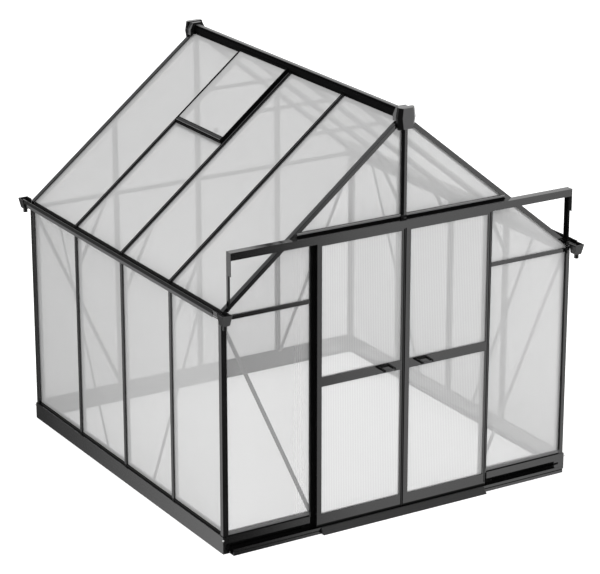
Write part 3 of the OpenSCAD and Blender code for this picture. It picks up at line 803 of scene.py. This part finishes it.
@dataclass
class DoorHandle:
    """Handle of a door: black plate and legs with a coated grip in front."""

    palette: Palette
    node: str
    body: Body
    start_in: float = 0.008
    end_in: float = 0.006
    top_in: float = 0.002
    plate: float = 0.004
    plate_border: float = 0.002
    rise: float = 0.014
    wall: float = 0.013
    reach: float = 0.002
    leg_sunk: float = 0.003
    leg_under: float = 0.001
    knee: float = 0.016
    toe: float = 0.005
    knee_by: Point = (0.009, 0.0, -0.006)
    toe_by: Point = (0.005, 0.0, -0.005)
    edge_round: float = 0.002
    grip_start: float = 0.027
    grip_over: float = 0.002
    grip_front: float = 0.004
    grip_back: float = 0.001
    grip_foot: float = 0.006
    grip_border: float = 0.0025
    grip_edge: float = 0.0012

    def build(self) -> None:
        """Models the handle in the place of its node."""
        low, high = (Vector(v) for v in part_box(self.node))
        black = self.palette["black_moulding"]
        top = high.z - self.top_in
        foot = top - self.rise
        start, end = low.x + self.start_in, high.x - self.end_in
        plate = Bench("plate").box((start, high.y - self.plate, foot), (end, high.y, top))
        plate.faces(lambda m, n: n.y < -STRAIGHT).inset(self.plate_border, 0.0)
        plate.edges(lambda m, d: m.y < high.y - NEAR).bevel(FINE_EDGE, 2)
        parts = [plate.done(black)]
        leg = Bench("leg").box(
            (start, low.y - self.reach, foot),
            (start + self.wall, high.y - self.leg_sunk, top - self.leg_under),
        )
        knee = low.y + self.knee
        leg.cut((0.0, knee, 0.0), (0.0, 1.0, 0.0))
        leg.points(lambda p: p.y < knee + CLOSE).move(self.knee_by)
        leg.points(lambda p: p.y < low.y + self.toe).move(self.toe_by)
        leg.edges(lambda m, d: abs(d.x) < LEANING).bevel(self.edge_round, 3)
        first = leg.done(black)
        parts += [first, copied(first, "leg_right", (end - start - self.wall, 0.0, 0.0))]
        grip = Bench("grip").box(
            (start + self.grip_start, low.y - self.grip_front, low.z + self.grip_foot),
            (end + self.grip_over, low.y + self.grip_back, foot),
        )
        grip.faces(lambda m, n: n.y < -STRAIGHT).inset(self.grip_border, 0.0)
        grip.edges(lambda m, d: True).bevel(self.grip_edge, 2)
        grip.faces(lambda m, n: n.y < -LEANING)
        parts.append(grip.done(black, self.palette["anthracite_coat"]))
        fitted(joined(f"{self.node}_grip", parts), self.body, self.node)


@dataclass
class GlazingStrips:
    """Strips that hold the feet of the wall panes on the base: dark, with a grey band on the gable side that
    is a painted highlight along their lit upper edge.
    """

    palette: Palette
    foot: float = 0.1052
    top: float = 0.126
    side_top: float = 0.1172
    depth: float = 0.008
    gap: float = 0.0003
    bead_foot: float = 0.0065
    gable_round: float = 0.003
    side_round: float = 0.004
    corner_in: float = 0.0068
    post_gap: float = 0.0004
    back_post: float = 0.606
    back_half: float = 0.0155
    side_half: float = 0.0152
    side_over: float = 0.008

    def gable(self, name: str, start: float, end: float, face: float) -> bpy.types.Object:
        """Models a strip in front of a gable wall's panes.

        Args:
            name: The strip's name.
            start: Where it starts along X.
            end: Where it ends.
            face: Y of the panes' outer face.

        Returns:
            The strip.
        """
        outer = face - self.depth
        bead = self.foot + self.bead_foot
        bench = Bench(name).box((start, outer, self.foot), (end, face - self.gap, self.top))
        bench.cut((0.0, 0.0, bead), (0.0, 0.0, 1.0))
        bench.edges(lambda m, d: abs(d.x) > STRAIGHT and m.z > self.top - NEAR and m.y < outer + NEAR)
        bench.bevel(self.gable_round, 3)
        # Faces above the band's foot get the pale grey: a painted highlight.
        bench.faces(lambda m, n: m.z > bead + NEAR and abs(n.x) < LEANING)
        return bench.done(self.palette["black_moulding"], self.palette["painted_highlight_grey"])

    def side(self, name: str, start: float, end: float, face: float) -> bpy.types.Object:
        """Models a strip in front of a side wall's panes.

        Args:
            name: The strip's name.
            start: Where it starts along Y.
            end: Where it ends.
            face: X of the panes' outer face, on the left.

        Returns:
            The strip.
        """
        outer = face - self.depth
        bench = Bench(name).box((outer, start, self.foot), (face - self.gap, end, self.side_top))
        bench.edges(lambda m, d: abs(d.y) > STRAIGHT and m.z > self.side_top - NEAR and m.x < outer + NEAR)
        bench.bevel(self.side_round, 3)
        return bench.done(self.palette["black_moulding"])

    def build(self) -> None:
        """Models the strips of all four walls."""
        panes_low, panes_high = (Vector(v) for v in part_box("front_wall_panes"))
        corner = panes_high.x - self.corner_in
        post = Vector(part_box("door_posts")[0])
        front = self.gable("front_strip", -corner, post.x - self.post_gap, panes_low.y)
        parts = [front, copied(front, "front_strip_right", mirror="X")]
        outer = self.gable("back_strip", -corner, -self.back_post - self.back_half, panes_low.y)
        inner = self.gable("back_strip_inner", self.back_half - self.back_post, -self.back_half, panes_low.y)
        for strip in (outer, inner):
            parts += [copied(strip, f"{strip.name}_{mirror}", mirror=mirror) for mirror in ("Y", "XY")]
            bpy.data.objects.remove(strip)
        fitted(joined("gable_glazing_strips", parts), Body.FRAME)
        wall = Vector(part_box("left_wall_panes")[0])
        middle = self.side("side_strip", self.side_half - BAY, -self.side_half, wall.x)
        end = self.side("side_strip_end", wall.y - self.side_over, -BAY - self.side_half, wall.x)
        parts = [middle, end]
        parts += [copied(strip, f"{strip.name}_back", mirror="Y") for strip in (middle, end)]
        both_sides(joined("left_glazing_strips", parts), "right_glazing_strips")


@dataclass
class DoorPostShade:
    """Black strips on the door posts, in the gap behind the doors' outer stiles: painted shade where the
    doors shade the posts.
    """

    palette: Palette
    cap: float = 0.0302
    foot: float = 0.041
    top_in: float = 0.055
    front: float = 0.004
    depth: float = 0.020
    width: float = 0.030
    rim: float = 0.004
    tip_share: float = 0.6
    plug_reach: float = 0.075
    plug_front: float = 0.0005
    plug_foot: float = 0.010
    plug_top: float = 0.100
    plug_round: float = 0.002

    def build(self) -> None:
        """Models the left strip and the plug at its foot, and mirrors both to the right post."""
        low, high = (Vector(v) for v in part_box("door_posts"))
        black = self.palette["black_moulding"]
        inner = low.x + self.cap
        tip = inner + self.width
        front = low.y - self.front
        # Painted shade: a black strip in the gap beside the door's stile.
        shade_strip = Bench("left_post_shade").box(
            (inner, front, self.foot), (tip, front + self.depth, high.z - self.top_in)
        )
        shade_strip.faces(lambda m, n: n.x > STRAIGHT).inset(self.rim, 0.0)
        shade_strip.points(lambda p: p.x > tip - NEAR).stretch((1.0, self.tip_share, 1.0), (inner, low.y, 1.0))
        shade_strip.edges(lambda m, d: abs(d.z) > STRAIGHT).bevel(FINE_EDGE, 2)
        left = shade_strip.done(black)
        right = copied(left, "right_post_shade", mirror="X")
        plug = Bench("foot_plug").box(
            (inner - self.plug_reach, low.y - self.plug_front, self.plug_foot),
            (tip, low.y + self.depth, self.plug_top),
        )
        plug.edges(lambda m, d: abs(d.z) > STRAIGHT).bevel(self.plug_round, 2)
        block = plug.done(black)
        other = copied(block, "foot_plug_right", mirror="X")
        fitted(joined("door_post_shade", [left, right, block, other]), Body.FRAME)


@dataclass
class RafterRibs:
    """Flat raised rib along the middle of each rafter cap, and covers on the gable rafters."""

    palette: Palette
    width: float = 0.010
    height: float = 0.0012
    edge_round: float = 0.0005
    stop: float = 0.020
    sink: float = 0.0004
    verge_middle: float = 1.2135
    verge_width: float = 0.0315
    verge_stop: float = 0.060

    def strip(self, name: str, middle: float, width: float, stop: float, finish: str) -> bpy.types.Object:
        """Models a strip that lies on a rafter of the left slope, from the eaves up.

        Args:
            name: Its name.
            middle: Y of its middle.
            width: Its width.
            stop: How far it stops short of the ridge.
            finish: Name of its finish.

        Returns:
            The strip.
        """
        low, high = (Vector(v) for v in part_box("left_rafters"))
        run = high.x - low.x
        end = low.x + run / math.cos(ROOF_SLOPE) - stop
        foot = high.z - math.tan(ROOF_SLOPE) * run - self.sink
        bench = Bench(name).box(
            (low.x, middle - width / 2, foot), (end, middle + width / 2, foot + self.height)
        )
        bench.edges(lambda m, d: abs(d.x) > STRAIGHT and m.z > foot + NEAR).bevel(self.edge_round, 2)
        bench.whole().turn(ROOF_SLOPE, "Y", (low.x, middle, foot))
        return bench.done(self.palette[finish])

    def build(self) -> None:
        """Models one rib and one verge cover on the left slope and copies them to the other rafters."""
        rib = self.strip("rafter_rib", 0.0, self.width, self.stop, "rib_coat")
        ribs = [rib]
        for side in (-1, 1):
            ribs.append(copied(rib, f"rafter_rib_{side}", (0.0, side * BAY, 0.0)))
        both_sides(joined("left_rafter_ribs", ribs), "right_rafter_ribs")
        verge = self.strip("verge", -self.verge_middle, self.verge_width, self.verge_stop, "verge_coat")
        back = copied(verge, "verge_back", mirror="Y")
        both_sides(joined("left_verge_covers", [verge, back]), "right_verge_covers")


@dataclass
class GutterTrim:
    """Black band over the gutter's rim as painted shade, a pale band under it as a painted reflection, and
    the seal along the foot of the roof panes.
    """

    palette: Palette
    half: float = 1.196
    shade_band: float = 0.021
    shade_band_wall: float = 0.0062
    proud: float = 0.0008
    shade_band_border: float = 0.0009
    highlight_band: float = 0.0205
    highlight_band_wall: float = 0.003
    highlight_band_proud: float = 0.0006
    seal: float = 0.017
    seal_height: float = 0.0025
    seal_lift: float = 0.0006

    def build(self) -> None:
        """Models the trim of the left gutter and mirrors it to the right."""
        low, high = (Vector(v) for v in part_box("left_gutter"))
        black = self.palette["black_moulding"]
        shade_band_foot = high.z - self.shade_band
        # Painted shade: a black band over the upper part of the gutter's outer face.
        shade_band = Bench("gutter_painted_shade").box(
            (low.x - self.proud, -self.half, shade_band_foot),
            (low.x + self.shade_band_wall, self.half, high.z + self.proud),
        )
        shade_band.faces(lambda m, n: n.z < -STRAIGHT).inset(self.shade_band_border, 0.0)
        shade_band.edges(lambda m, d: abs(d.y) > STRAIGHT and m.z > high.z).bevel(FINE_EDGE, 2)
        rim = shade_band.done(black)
        # Painted reflection: a pale band under the black one.
        highlight_band = Bench("gutter_painted_highlight").box(
            (low.x - self.highlight_band_proud, -self.half, shade_band_foot - self.highlight_band),
            (low.x + self.highlight_band_wall, self.half, shade_band_foot),
        )
        highlight_band.edges(lambda m, d: abs(d.y) > STRAIGHT and m.x < low.x).bevel(FINE_EDGE, 2)
        pale = highlight_band.done(self.palette["painted_highlight_coat"])
        panes_low, panes_high = (Vector(v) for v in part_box("left_roof_panes"))
        edge = panes_high.z - math.tan(ROOF_SLOPE) * (panes_high.x - panes_low.x) + self.seal_lift
        seal = Bench("eave_seal").box(
            (panes_low.x, -self.half, edge),
            (panes_low.x + self.seal, self.half, edge + self.seal_height),
        )
        seal.whole().turn(ROOF_SLOPE, "Y", (panes_low.x, 0.0, edge))
        seal.edges(lambda m, d: abs(d.y) > STRAIGHT).bevel(FINE_EDGE, 2)
        both_sides(joined("left_gutter_trim", [rim, pale, seal.done(black)]), "right_gutter_trim")


@dataclass
class Rubber:
    """Rubber strips, with what their forms share."""

    palette: Palette
    border: float = 0.2
    rounding: float = 0.3

    def strip(self, name: str, low: Point, high: Point) -> bpy.types.Object:
        """Models a rubber strip with rounded long edges.

        Args:
            name: Its name.
            low: Lowest corner.
            high: Highest corner.

        Returns:
            The strip.
        """
        size = Vector(high) - Vector(low)
        long = max(range(3), key=lambda i: size[i])
        bench = Bench(name).box(low, high)
        bench.faces(lambda m, n: abs(n[long]) > STRAIGHT).inset(min(size) * self.border, 0.0)
        bench.edges(lambda m, d: abs(d[long]) > STRAIGHT).bevel(min(size) * self.rounding, 2)
        return bench.done(self.palette["black_moulding"])


@dataclass
class DoorGaskets(Rubber):
    """Rubber sweeps at the doors' feet, and seals along their stiles."""

    proud: float = 0.0007
    foot: float = 0.036
    sweep_top: float = 0.053
    sweep_sunk: float = 0.002
    top_in: float = 0.045
    edge: float = 0.002
    sweep_in: float = 0.012
    seal_sunk: float = 0.003
    seal_from: float = 0.0115
    seal_to: float = 0.0015
    lap: float = 0.0008
    lap_front: float = 0.004
    lap_back: float = 0.024
    outer_foot: float = 0.060
    outer_from: float = 0.0095
    outer_to: float = 0.0025

    def build(self) -> None:
        """Models the gaskets of both doors."""
        left_low, left_high = (Vector(v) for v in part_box("left_door_frame"))
        right_low, right_high = (Vector(v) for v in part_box("right_door_frame"))
        face = left_low.y
        front = face - self.proud
        top = left_high.z - self.top_in
        left = [
            self.strip(
                "sweep",
                (left_low.x + self.edge, front, self.foot),
                (left_high.x - self.sweep_in, face + self.sweep_sunk, self.sweep_top),
            ),
            self.strip(
                "meeting",
                (left_high.x - self.seal_from, front, self.foot),
                (left_high.x - self.seal_to, face + self.seal_sunk, top),
            ),
        ]
        right = [
            self.strip(
                "sweep",
                (right_low.x + self.edge, front, self.foot),
                (right_high.x - self.edge, face + self.sweep_sunk, self.sweep_top),
            ),
            self.strip(
                "meeting",
                (right_low.x - self.lap, face + self.lap_front, self.foot),
                (right_low.x + self.edge, face + self.lap_back, top),
            ),
            self.strip(
                "outer",
                (right_high.x - self.outer_from, front, self.outer_foot),
                (right_high.x - self.outer_to, face + self.seal_sunk, top),
            ),
        ]
        fitted(joined("left_door_gaskets", left), Body.LEFT_DOOR)
        fitted(joined("right_door_gaskets", right), Body.RIGHT_DOOR)


@dataclass
class FrameGaskets(Rubber):
    """Rubber on the door posts, corner posts and guide rail, and the doors' stops on the track hangers."""

    proud: float = 0.0008
    sunk: float = 0.002
    foot: float = 0.130
    post_top: float = 1.790
    corner_top: float = 1.425
    cap: float = 0.030
    inner_span: tuple[float, float] = (0.0005, 0.0085)
    outer_span: tuple[float, float] = (0.006, 0.0003)
    corner_span: tuple[float, float] = (1.1815, 1.1895)
    groove_start: float = 0.5835
    groove_foot: float = 0.0175
    groove_top: float = 0.0215
    groove_proud: float = 0.0006
    groove_in: float = 0.003
    hanger_wall: float = 0.002
    hanger_sunk: float = 0.0003
    stop_proud: float = 0.0012
    stop_edges: tuple[float, float] = (0.003, 0.002)
    stop_drop: float = 0.138
    stop_top: float = 1.792
    stay_proud: float = 0.0022
    stay_edges: tuple[float, float] = (0.034, 0.003)
    stay_lift: float = 0.020
    stay_drop: float = 0.136
    post_foot: tuple[Point, Point] = ((-0.0206, -1.2400, 1.8405), (0.0166, -1.2290, 1.8600))

    def posts(self) -> list[bpy.types.Object]:
        """Models the strips on the posts.

        Returns:
            The strips of the right posts, then those of the left ones.
        """
        low, high = (Vector(v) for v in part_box("door_posts"))
        cap = high.x - self.cap
        spans = (
            ("inner", *(cap + x for x in self.inner_span), self.post_top),
            ("outer", *(high.x - x for x in self.outer_span), self.post_top),
            ("corner", *self.corner_span, self.corner_top),
        )
        strips = [
            self.strip(name, (start, low.y - self.proud, self.foot), (end, low.y + self.sunk, top))
            for name, start, end, top in spans
        ]
        return strips + [copied(strip, f"{strip.name}_left", mirror="X") for strip in strips]

    def stops(self) -> list[bpy.types.Object]:
        """Models the stops on the inner faces of the track hangers.

        Returns:
            The stop and the stay under it, of the right hanger and of the left one.
        """
        low, high = (Vector(v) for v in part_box("track_hangers"))
        face = high.x - self.hanger_wall
        back = face + self.hanger_sunk
        stop = self.strip(
            "door_stop",
            (face - self.stop_proud, low.y + self.stop_edges[0], high.z - self.stop_drop),
            (back, high.y - self.stop_edges[1], self.stop_top),
        )
        stay = self.strip(
            "stay",
            (face - self.stay_proud, high.y - self.stay_edges[0], low.z + self.stay_lift),
            (back, high.y - self.stay_edges[1], high.z - self.stay_drop),
        )
        return [stop, stay, copied(stop, "stop_left", mirror="X"), copied(stay, "stay_left", mirror="X")]

    def build(self) -> None:
        """Models all rubber of the fixed frame."""
        strips = self.posts()
        rail_low, rail_high = (Vector(v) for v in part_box("door_guide_rail"))
        groove = self.strip(
            "groove",
            (self.groove_start, rail_low.y - self.groove_proud, self.groove_foot),
            (rail_high.x - self.groove_in, rail_low.y + self.sunk, self.groove_top),
        )
        strips += [groove, copied(groove, "groove_left", mirror="X")]
        strips += self.stops()
        strips.append(self.strip("post_foot", *self.post_foot))
        fitted(joined("frame_gaskets", strips), Body.FRAME)


@dataclass
class VentOpener(Rubber):
    """Knob and arm of the vent's opener, under its pane."""

    place: Point = (-0.4246, 0.2098, 2.082)
    radius: float = 0.015
    depth: float = 0.012
    sides: int = 32
    dish: float = 0.003
    level: float = 0.7
    arm: tuple[Point, Point] = ((-0.447, 0.214, 2.058), (-0.437, 0.262, 2.066))

    def build(self) -> None:
        """Models the knob along the slope, and its arm."""
        knob = Bench("vent_knob").drum(self.place, self.radius, self.depth, "Z", self.sides)
        knob.whole().turn(ROOF_SLOPE, "Y", self.place)
        knob.faces(lambda m, n: abs(n.z) > self.level).inset(self.dish, self.dish)
        disc = knob.done(self.palette["black_moulding"])
        fitted(joined("vent_opener_knob", [disc, self.strip("vent_arm", *self.arm)]), Body.FRAME)


@dataclass
class VentTrim:
    """Flat cover on the vent's lower rail, lighter grey as painted light for the rail's lit top, with a pale
    bead along its edge as a painted highlight.
    """

    palette: Palette
    rail: float = 0.032
    lift: float = 0.0001
    side_in: float = 0.012
    inset: float = 0.011
    width: float = 0.018
    height: float = 0.0012
    border: float = 0.001
    bead: float = 0.0035
    bead_under: float = 0.001
    bead_over: float = 0.0022
    bead_round: float = 0.001

    def build(self) -> None:
        """Models the cover and its bead on the lid's upper face."""
        low, high = (Vector(v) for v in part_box("vent_frame"))
        edge = low.z + self.rail * math.cos(ROOF_SLOPE) + self.lift
        first = low.x + self.inset
        start, end = low.y + self.side_in, high.y - self.side_in
        hinge = (low.x, start, edge)
        cover = Bench("vent_cover").box((first, start, edge), (first + self.width, end, edge + self.height))
        cover.whole().turn(ROOF_SLOPE, "Y", hinge)
        cover.faces(lambda m, n: n.z > LEANING).inset(self.border, 0.0)
        # The cover's lighter grey stands for the lit top of the rail: painted light.
        flat = cover.done(self.palette["rib_coat"])
        # Pale bead along the cover's edge: a painted highlight.
        highlight_band = Bench("vent_painted_highlight").box(
            (first - self.bead, start, edge - self.bead_under), (first, end, edge + self.bead_over)
        )
        highlight_band.whole().turn(ROOF_SLOPE, "Y", hinge)
        highlight_band.edges(lambda m, d: abs(d.y) > STRAIGHT).bevel(self.bead_round, 2)
        fitted(joined("vent_rail_trim", [flat, highlight_band.done(self.palette["painted_highlight_grey"])]), Body.FRAME)


@dataclass
class CrossLedge:
    """Ledge on the upper half of the gable cross rail: its pale front is a painted highlight for the rail's
    lit top, open where the gable post stands.
    """

    palette: Palette
    end_in: float = 0.006
    proud: float = 0.0035
    sunk: float = 0.002
    over: float = 0.0005
    lean: float = 0.003
    post_left: float = -0.0205
    post_right: float = 0.0165

    def build(self) -> None:
        """Models the ledge."""
        low, high = (Vector(v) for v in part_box("gable_cross_rail"))
        middle = (low.z + high.z) / 2
        ledge = Bench("cross_ledge").box(
            (low.x + self.end_in, low.y - self.proud, middle),
            (high.x - self.end_in, low.y + self.sunk, high.z + self.over),
        )
        ledge.points(lambda p: p.z > high.z and p.y < low.y).move((0.0, self.lean, 0.0))
        ledge.edges(lambda m, d: abs(d.x) > STRAIGHT).bevel(FINE_EDGE, 2)
        ledge.cut((self.post_left, 0.0, 0.0), (1.0, 0.0, 0.0))
        ledge.cut((self.post_right, 0.0, 0.0), (1.0, 0.0, 0.0))
        ledge.faces(lambda m, n: self.post_left - NEAR < m.x < self.post_right + NEAR)
        bpy.ops.mesh.delete(type="FACE")
        # Front faces get the pale grey, a painted highlight; the rest keeps the painted-shade black.
        ledge.faces(lambda m, n: abs(n.x) < LEANING and m.y < low.y + CLOSE)
        fitted(ledge.done(self.palette["painted_shade_coat"], self.palette["painted_highlight_grey"]), Body.FRAME)


@dataclass
class RidgeHighlight:
    """Pale raised strip along the crown of the ridge: a painted highlight where the crown catches the light.
    """

    palette: Palette
    half_width: float = 0.0135
    half_length: float = 1.19
    height: float = 0.003
    edge_round: float = 0.0014

    def build(self) -> None:
        """Models the bead."""
        crown = Vector(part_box("ridge_beam")[1]).z
        top = crown + self.height
        bead = Bench("ridge_highlight").box(
            (-self.half_width, -self.half_length, crown), (self.half_width, self.half_length, top)
        )
        bead.edges(lambda m, d: abs(d.y) > STRAIGHT and m.z > top - NEAR).bevel(self.edge_round, 3)
        fitted(bead.done(self.palette["painted_highlight_coat"]), Body.FRAME)


@dataclass
class Bolts:
    """Small bolt heads at the base corners."""

    palette: Palette
    place: Point = (-1.2207, -1.2365, 0.087)
    axis: str = "Y"
    radius: float = 0.0055
    height: float = 0.004
    sides: int = 12
    dome: float = 0.3

    def build(self) -> None:
        """Models one domed head and mirrors it to every corner."""
        bench = Bench("base_bolt").drum(self.place, self.radius, self.height, self.axis, self.sides)
        bench.faces(lambda m, n: abs(n.y) > STRAIGHT).inset(self.radius * self.dome, self.height * self.dome)
        bolt = bench.done(self.palette["bolt_steel"])
        heads = [bolt] + [copied(bolt, f"base_bolt_{mirror}", mirror=mirror) for mirror in ("X", "Y", "XY")]
        fitted(joined("base_bolts", heads), Body.FRAME)


@dataclass(frozen=True)
class Lamp:
    """Square area lamp that faces the greenhouse."""

    name: str
    place: Point
    size: float
    power: float
    glossy: bool = True
    aim: Point = (0.0, 0.0, 1.1)

    def build(self) -> None:
        """Adds the lamp, which glossy surfaces mirror only where glossy is set."""
        data = bpy.data.lights.new(self.name, "AREA")
        data.shape = "SQUARE"
        data.size = self.size
        data.energy = self.power
        obj = bpy.data.objects.new(self.name, data)
        bpy.context.scene.collection.objects.link(obj)
        obj.location = self.place
        obj.visible_glossy = self.glossy
        way = Vector(self.aim) - Vector(self.place)
        obj.rotation_euler = way.to_track_quat("-Z", "Y").to_euler()


@dataclass
class Studio:
    """Camera, lamps, floor and backdrop. Angles are in degrees, bearings from the front to the right."""

    lens: float = 155.39
    position: Point = (-7.909, -13.113, 6.380)
    yaw: float = 31.25
    pitch: float = 19.19
    view_end: float = 200.0
    ambient: float = 0.85
    right_screen: tuple[float, float] = (29.6, 33.0)
    left_screen: tuple[float, float] = (-156.4, -149.2)
    left_screen_end: tuple[float, float] = (-100.0, -60.0)
    between: float = 0.02
    floor_size: float = 120.0
    floor_shade: float = 0.8
    floor_roughness: float = 0.9
    floor_glow: float = 0.6
    pane_layers: int = 32
    lamps: tuple[Lamp, ...] = (
        Lamp("key_lamp", (7.0, -9.0, 7.0), 5.0, 300.0),
        Lamp("top_lamp", (0.0, 1.0, 9.0), 6.0, 200.0),
        Lamp("fill_lamp", (-3.6, -1.2, 1.2), 1.2, 22.0, glossy=False),
    )

    def camera(self) -> None:
        """Stands the camera in front of the greenhouse, to the left and above."""
        data = bpy.data.cameras.new("camera")
        data.lens = self.lens
        data.clip_end = self.view_end
        obj = bpy.data.objects.new("camera", data)
        bpy.context.scene.collection.objects.link(obj)
        obj.location = self.position
        obj.rotation_euler = (math.radians(90.0 - self.pitch), 0.0, math.radians(-self.yaw))
        bpy.context.scene.camera = obj

    def world(self) -> None:
        """Makes the world white to the eye, a ring of soft screens to gloss, and otherwise a plain light."""
        world = bpy.data.worlds.new("studio")
        bpy.context.scene.world = world
        world.use_nodes = True
        g = Graph(world.node_tree)
        back = g.tree.nodes["Background"]
        gloss = g.add("ShaderNodeLightPath").outputs["Is Glossy Ray"]
        plain = g.math("ADD", g.math("MULTIPLY", self.seen(g), 1.0 - self.ambient), self.ambient)
        rest = g.math("MULTIPLY", plain, g.math("SUBTRACT", 1.0, gloss))
        g.feed(g.math("ADD", rest, g.math("MULTIPLY", gloss, self.screens(g))), back.inputs["Strength"])
        back.inputs["Color"].default_value = (1.0, 1.0, 1.0, 1.0)

    def screens(self, g: Graph) -> bpy.types.NodeSocket:
        """Is 1 towards the pale screens that glossy surfaces reflect, and near 0 between them.

        Args:
            g: The graph that gets the nodes.

        Returns:
            The mask.
        """
        axes = g.split("Generated")
        bearing = g.math("ARCTAN2", axes["X"], g.math("MULTIPLY", axes["Y"], -1.0))
        right, left, left_end = (
            g.ramp(bearing, math.radians(start), math.radians(end), "SMOOTHSTEP")
            for start, end in (self.right_screen, self.left_screen, self.left_screen_end)
        )
        left = g.math("MULTIPLY", left, g.math("SUBTRACT", 1.0, left_end))
        both = g.math("MAXIMUM", right, left)
        return g.math("ADD", g.math("MULTIPLY", both, 1.0 - self.between), self.between)

    @staticmethod
    def seen(g: Graph) -> bpy.types.NodeSocket:
        """Is 1 where the camera looks, straight or through panes, and 0 elsewhere."""
        path = g.add("ShaderNodeLightPath")
        return g.math("MAXIMUM", path.outputs["Is Camera Ray"], path.outputs["Is Transmission Ray"])

    def floor(self) -> None:
        """Lays a white floor that still takes the greenhouse's shadow."""
        bpy.ops.mesh.primitive_plane_add(size=self.floor_size, location=(0.0, 0.0, 0.0))
        floor = bpy.context.object
        floor.name = "floor"
        material, g, shader = started("studio_floor")
        shader["Base Color"].default_value = (*[self.floor_shade] * 3, 1.0)
        shader["Roughness"].default_value = self.floor_roughness
        shader["Specular IOR Level"].default_value = 0.0
        shader["Emission Color"].default_value = (1.0, 1.0, 1.0, 1.0)
        g.feed(g.math("MULTIPLY", self.seen(g), self.floor_glow), shader["Emission Strength"])
        floor.data.materials.append(material)
        floor.visible_glossy = False

    def build(self) -> None:
        """Sets up the whole studio."""
        self.camera()
        self.world()
        self.floor()
        for lamp in self.lamps:
            lamp.build()
        bpy.context.scene.view_settings.view_transform = "Standard"
        bpy.context.scene.cycles.transparent_max_bounces = self.pane_layers


def dress_node(name: str, material: bpy.types.Material) -> None:
    """Gives a carried-over node its finish.

    Args:
        name: The node.
        material: Its material.
    """
    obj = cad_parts[name]
    obj.data.materials.clear()
    obj.data.materials.append(material)
    LOG.info("dressed %s", name)


def main() -> None:
    """Builds the studio and dresses the greenhouse."""
    logging.basicConfig(level=logging.INFO, format="%(name)s: %(message)s")
    bpy.ops.object.select_all(action="DESELECT")
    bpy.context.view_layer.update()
    Studio().build()
    palette = Palette()
    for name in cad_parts:
        dress_node(name, palette[NODE_FINISH.get(name, "anthracite_coat")])
    RidgeCaps(palette).build()
    DoorHandle(palette, "left_door_handle", Body.LEFT_DOOR).build()
    DoorHandle(palette, "right_door_handle", Body.RIGHT_DOOR).build()
    GlazingStrips(palette).build()
    DoorPostShade(palette).build()
    RafterRibs(palette).build()
    GutterTrim(palette).build()
    DoorGaskets(palette).build()
    FrameGaskets(palette).build()
    VentOpener(palette).build()
    VentTrim(palette).build()
    CrossLedge(palette).build()
    RidgeHighlight(palette).build()
    Bolts(palette).build()


if __name__ == "__main__":
    main()
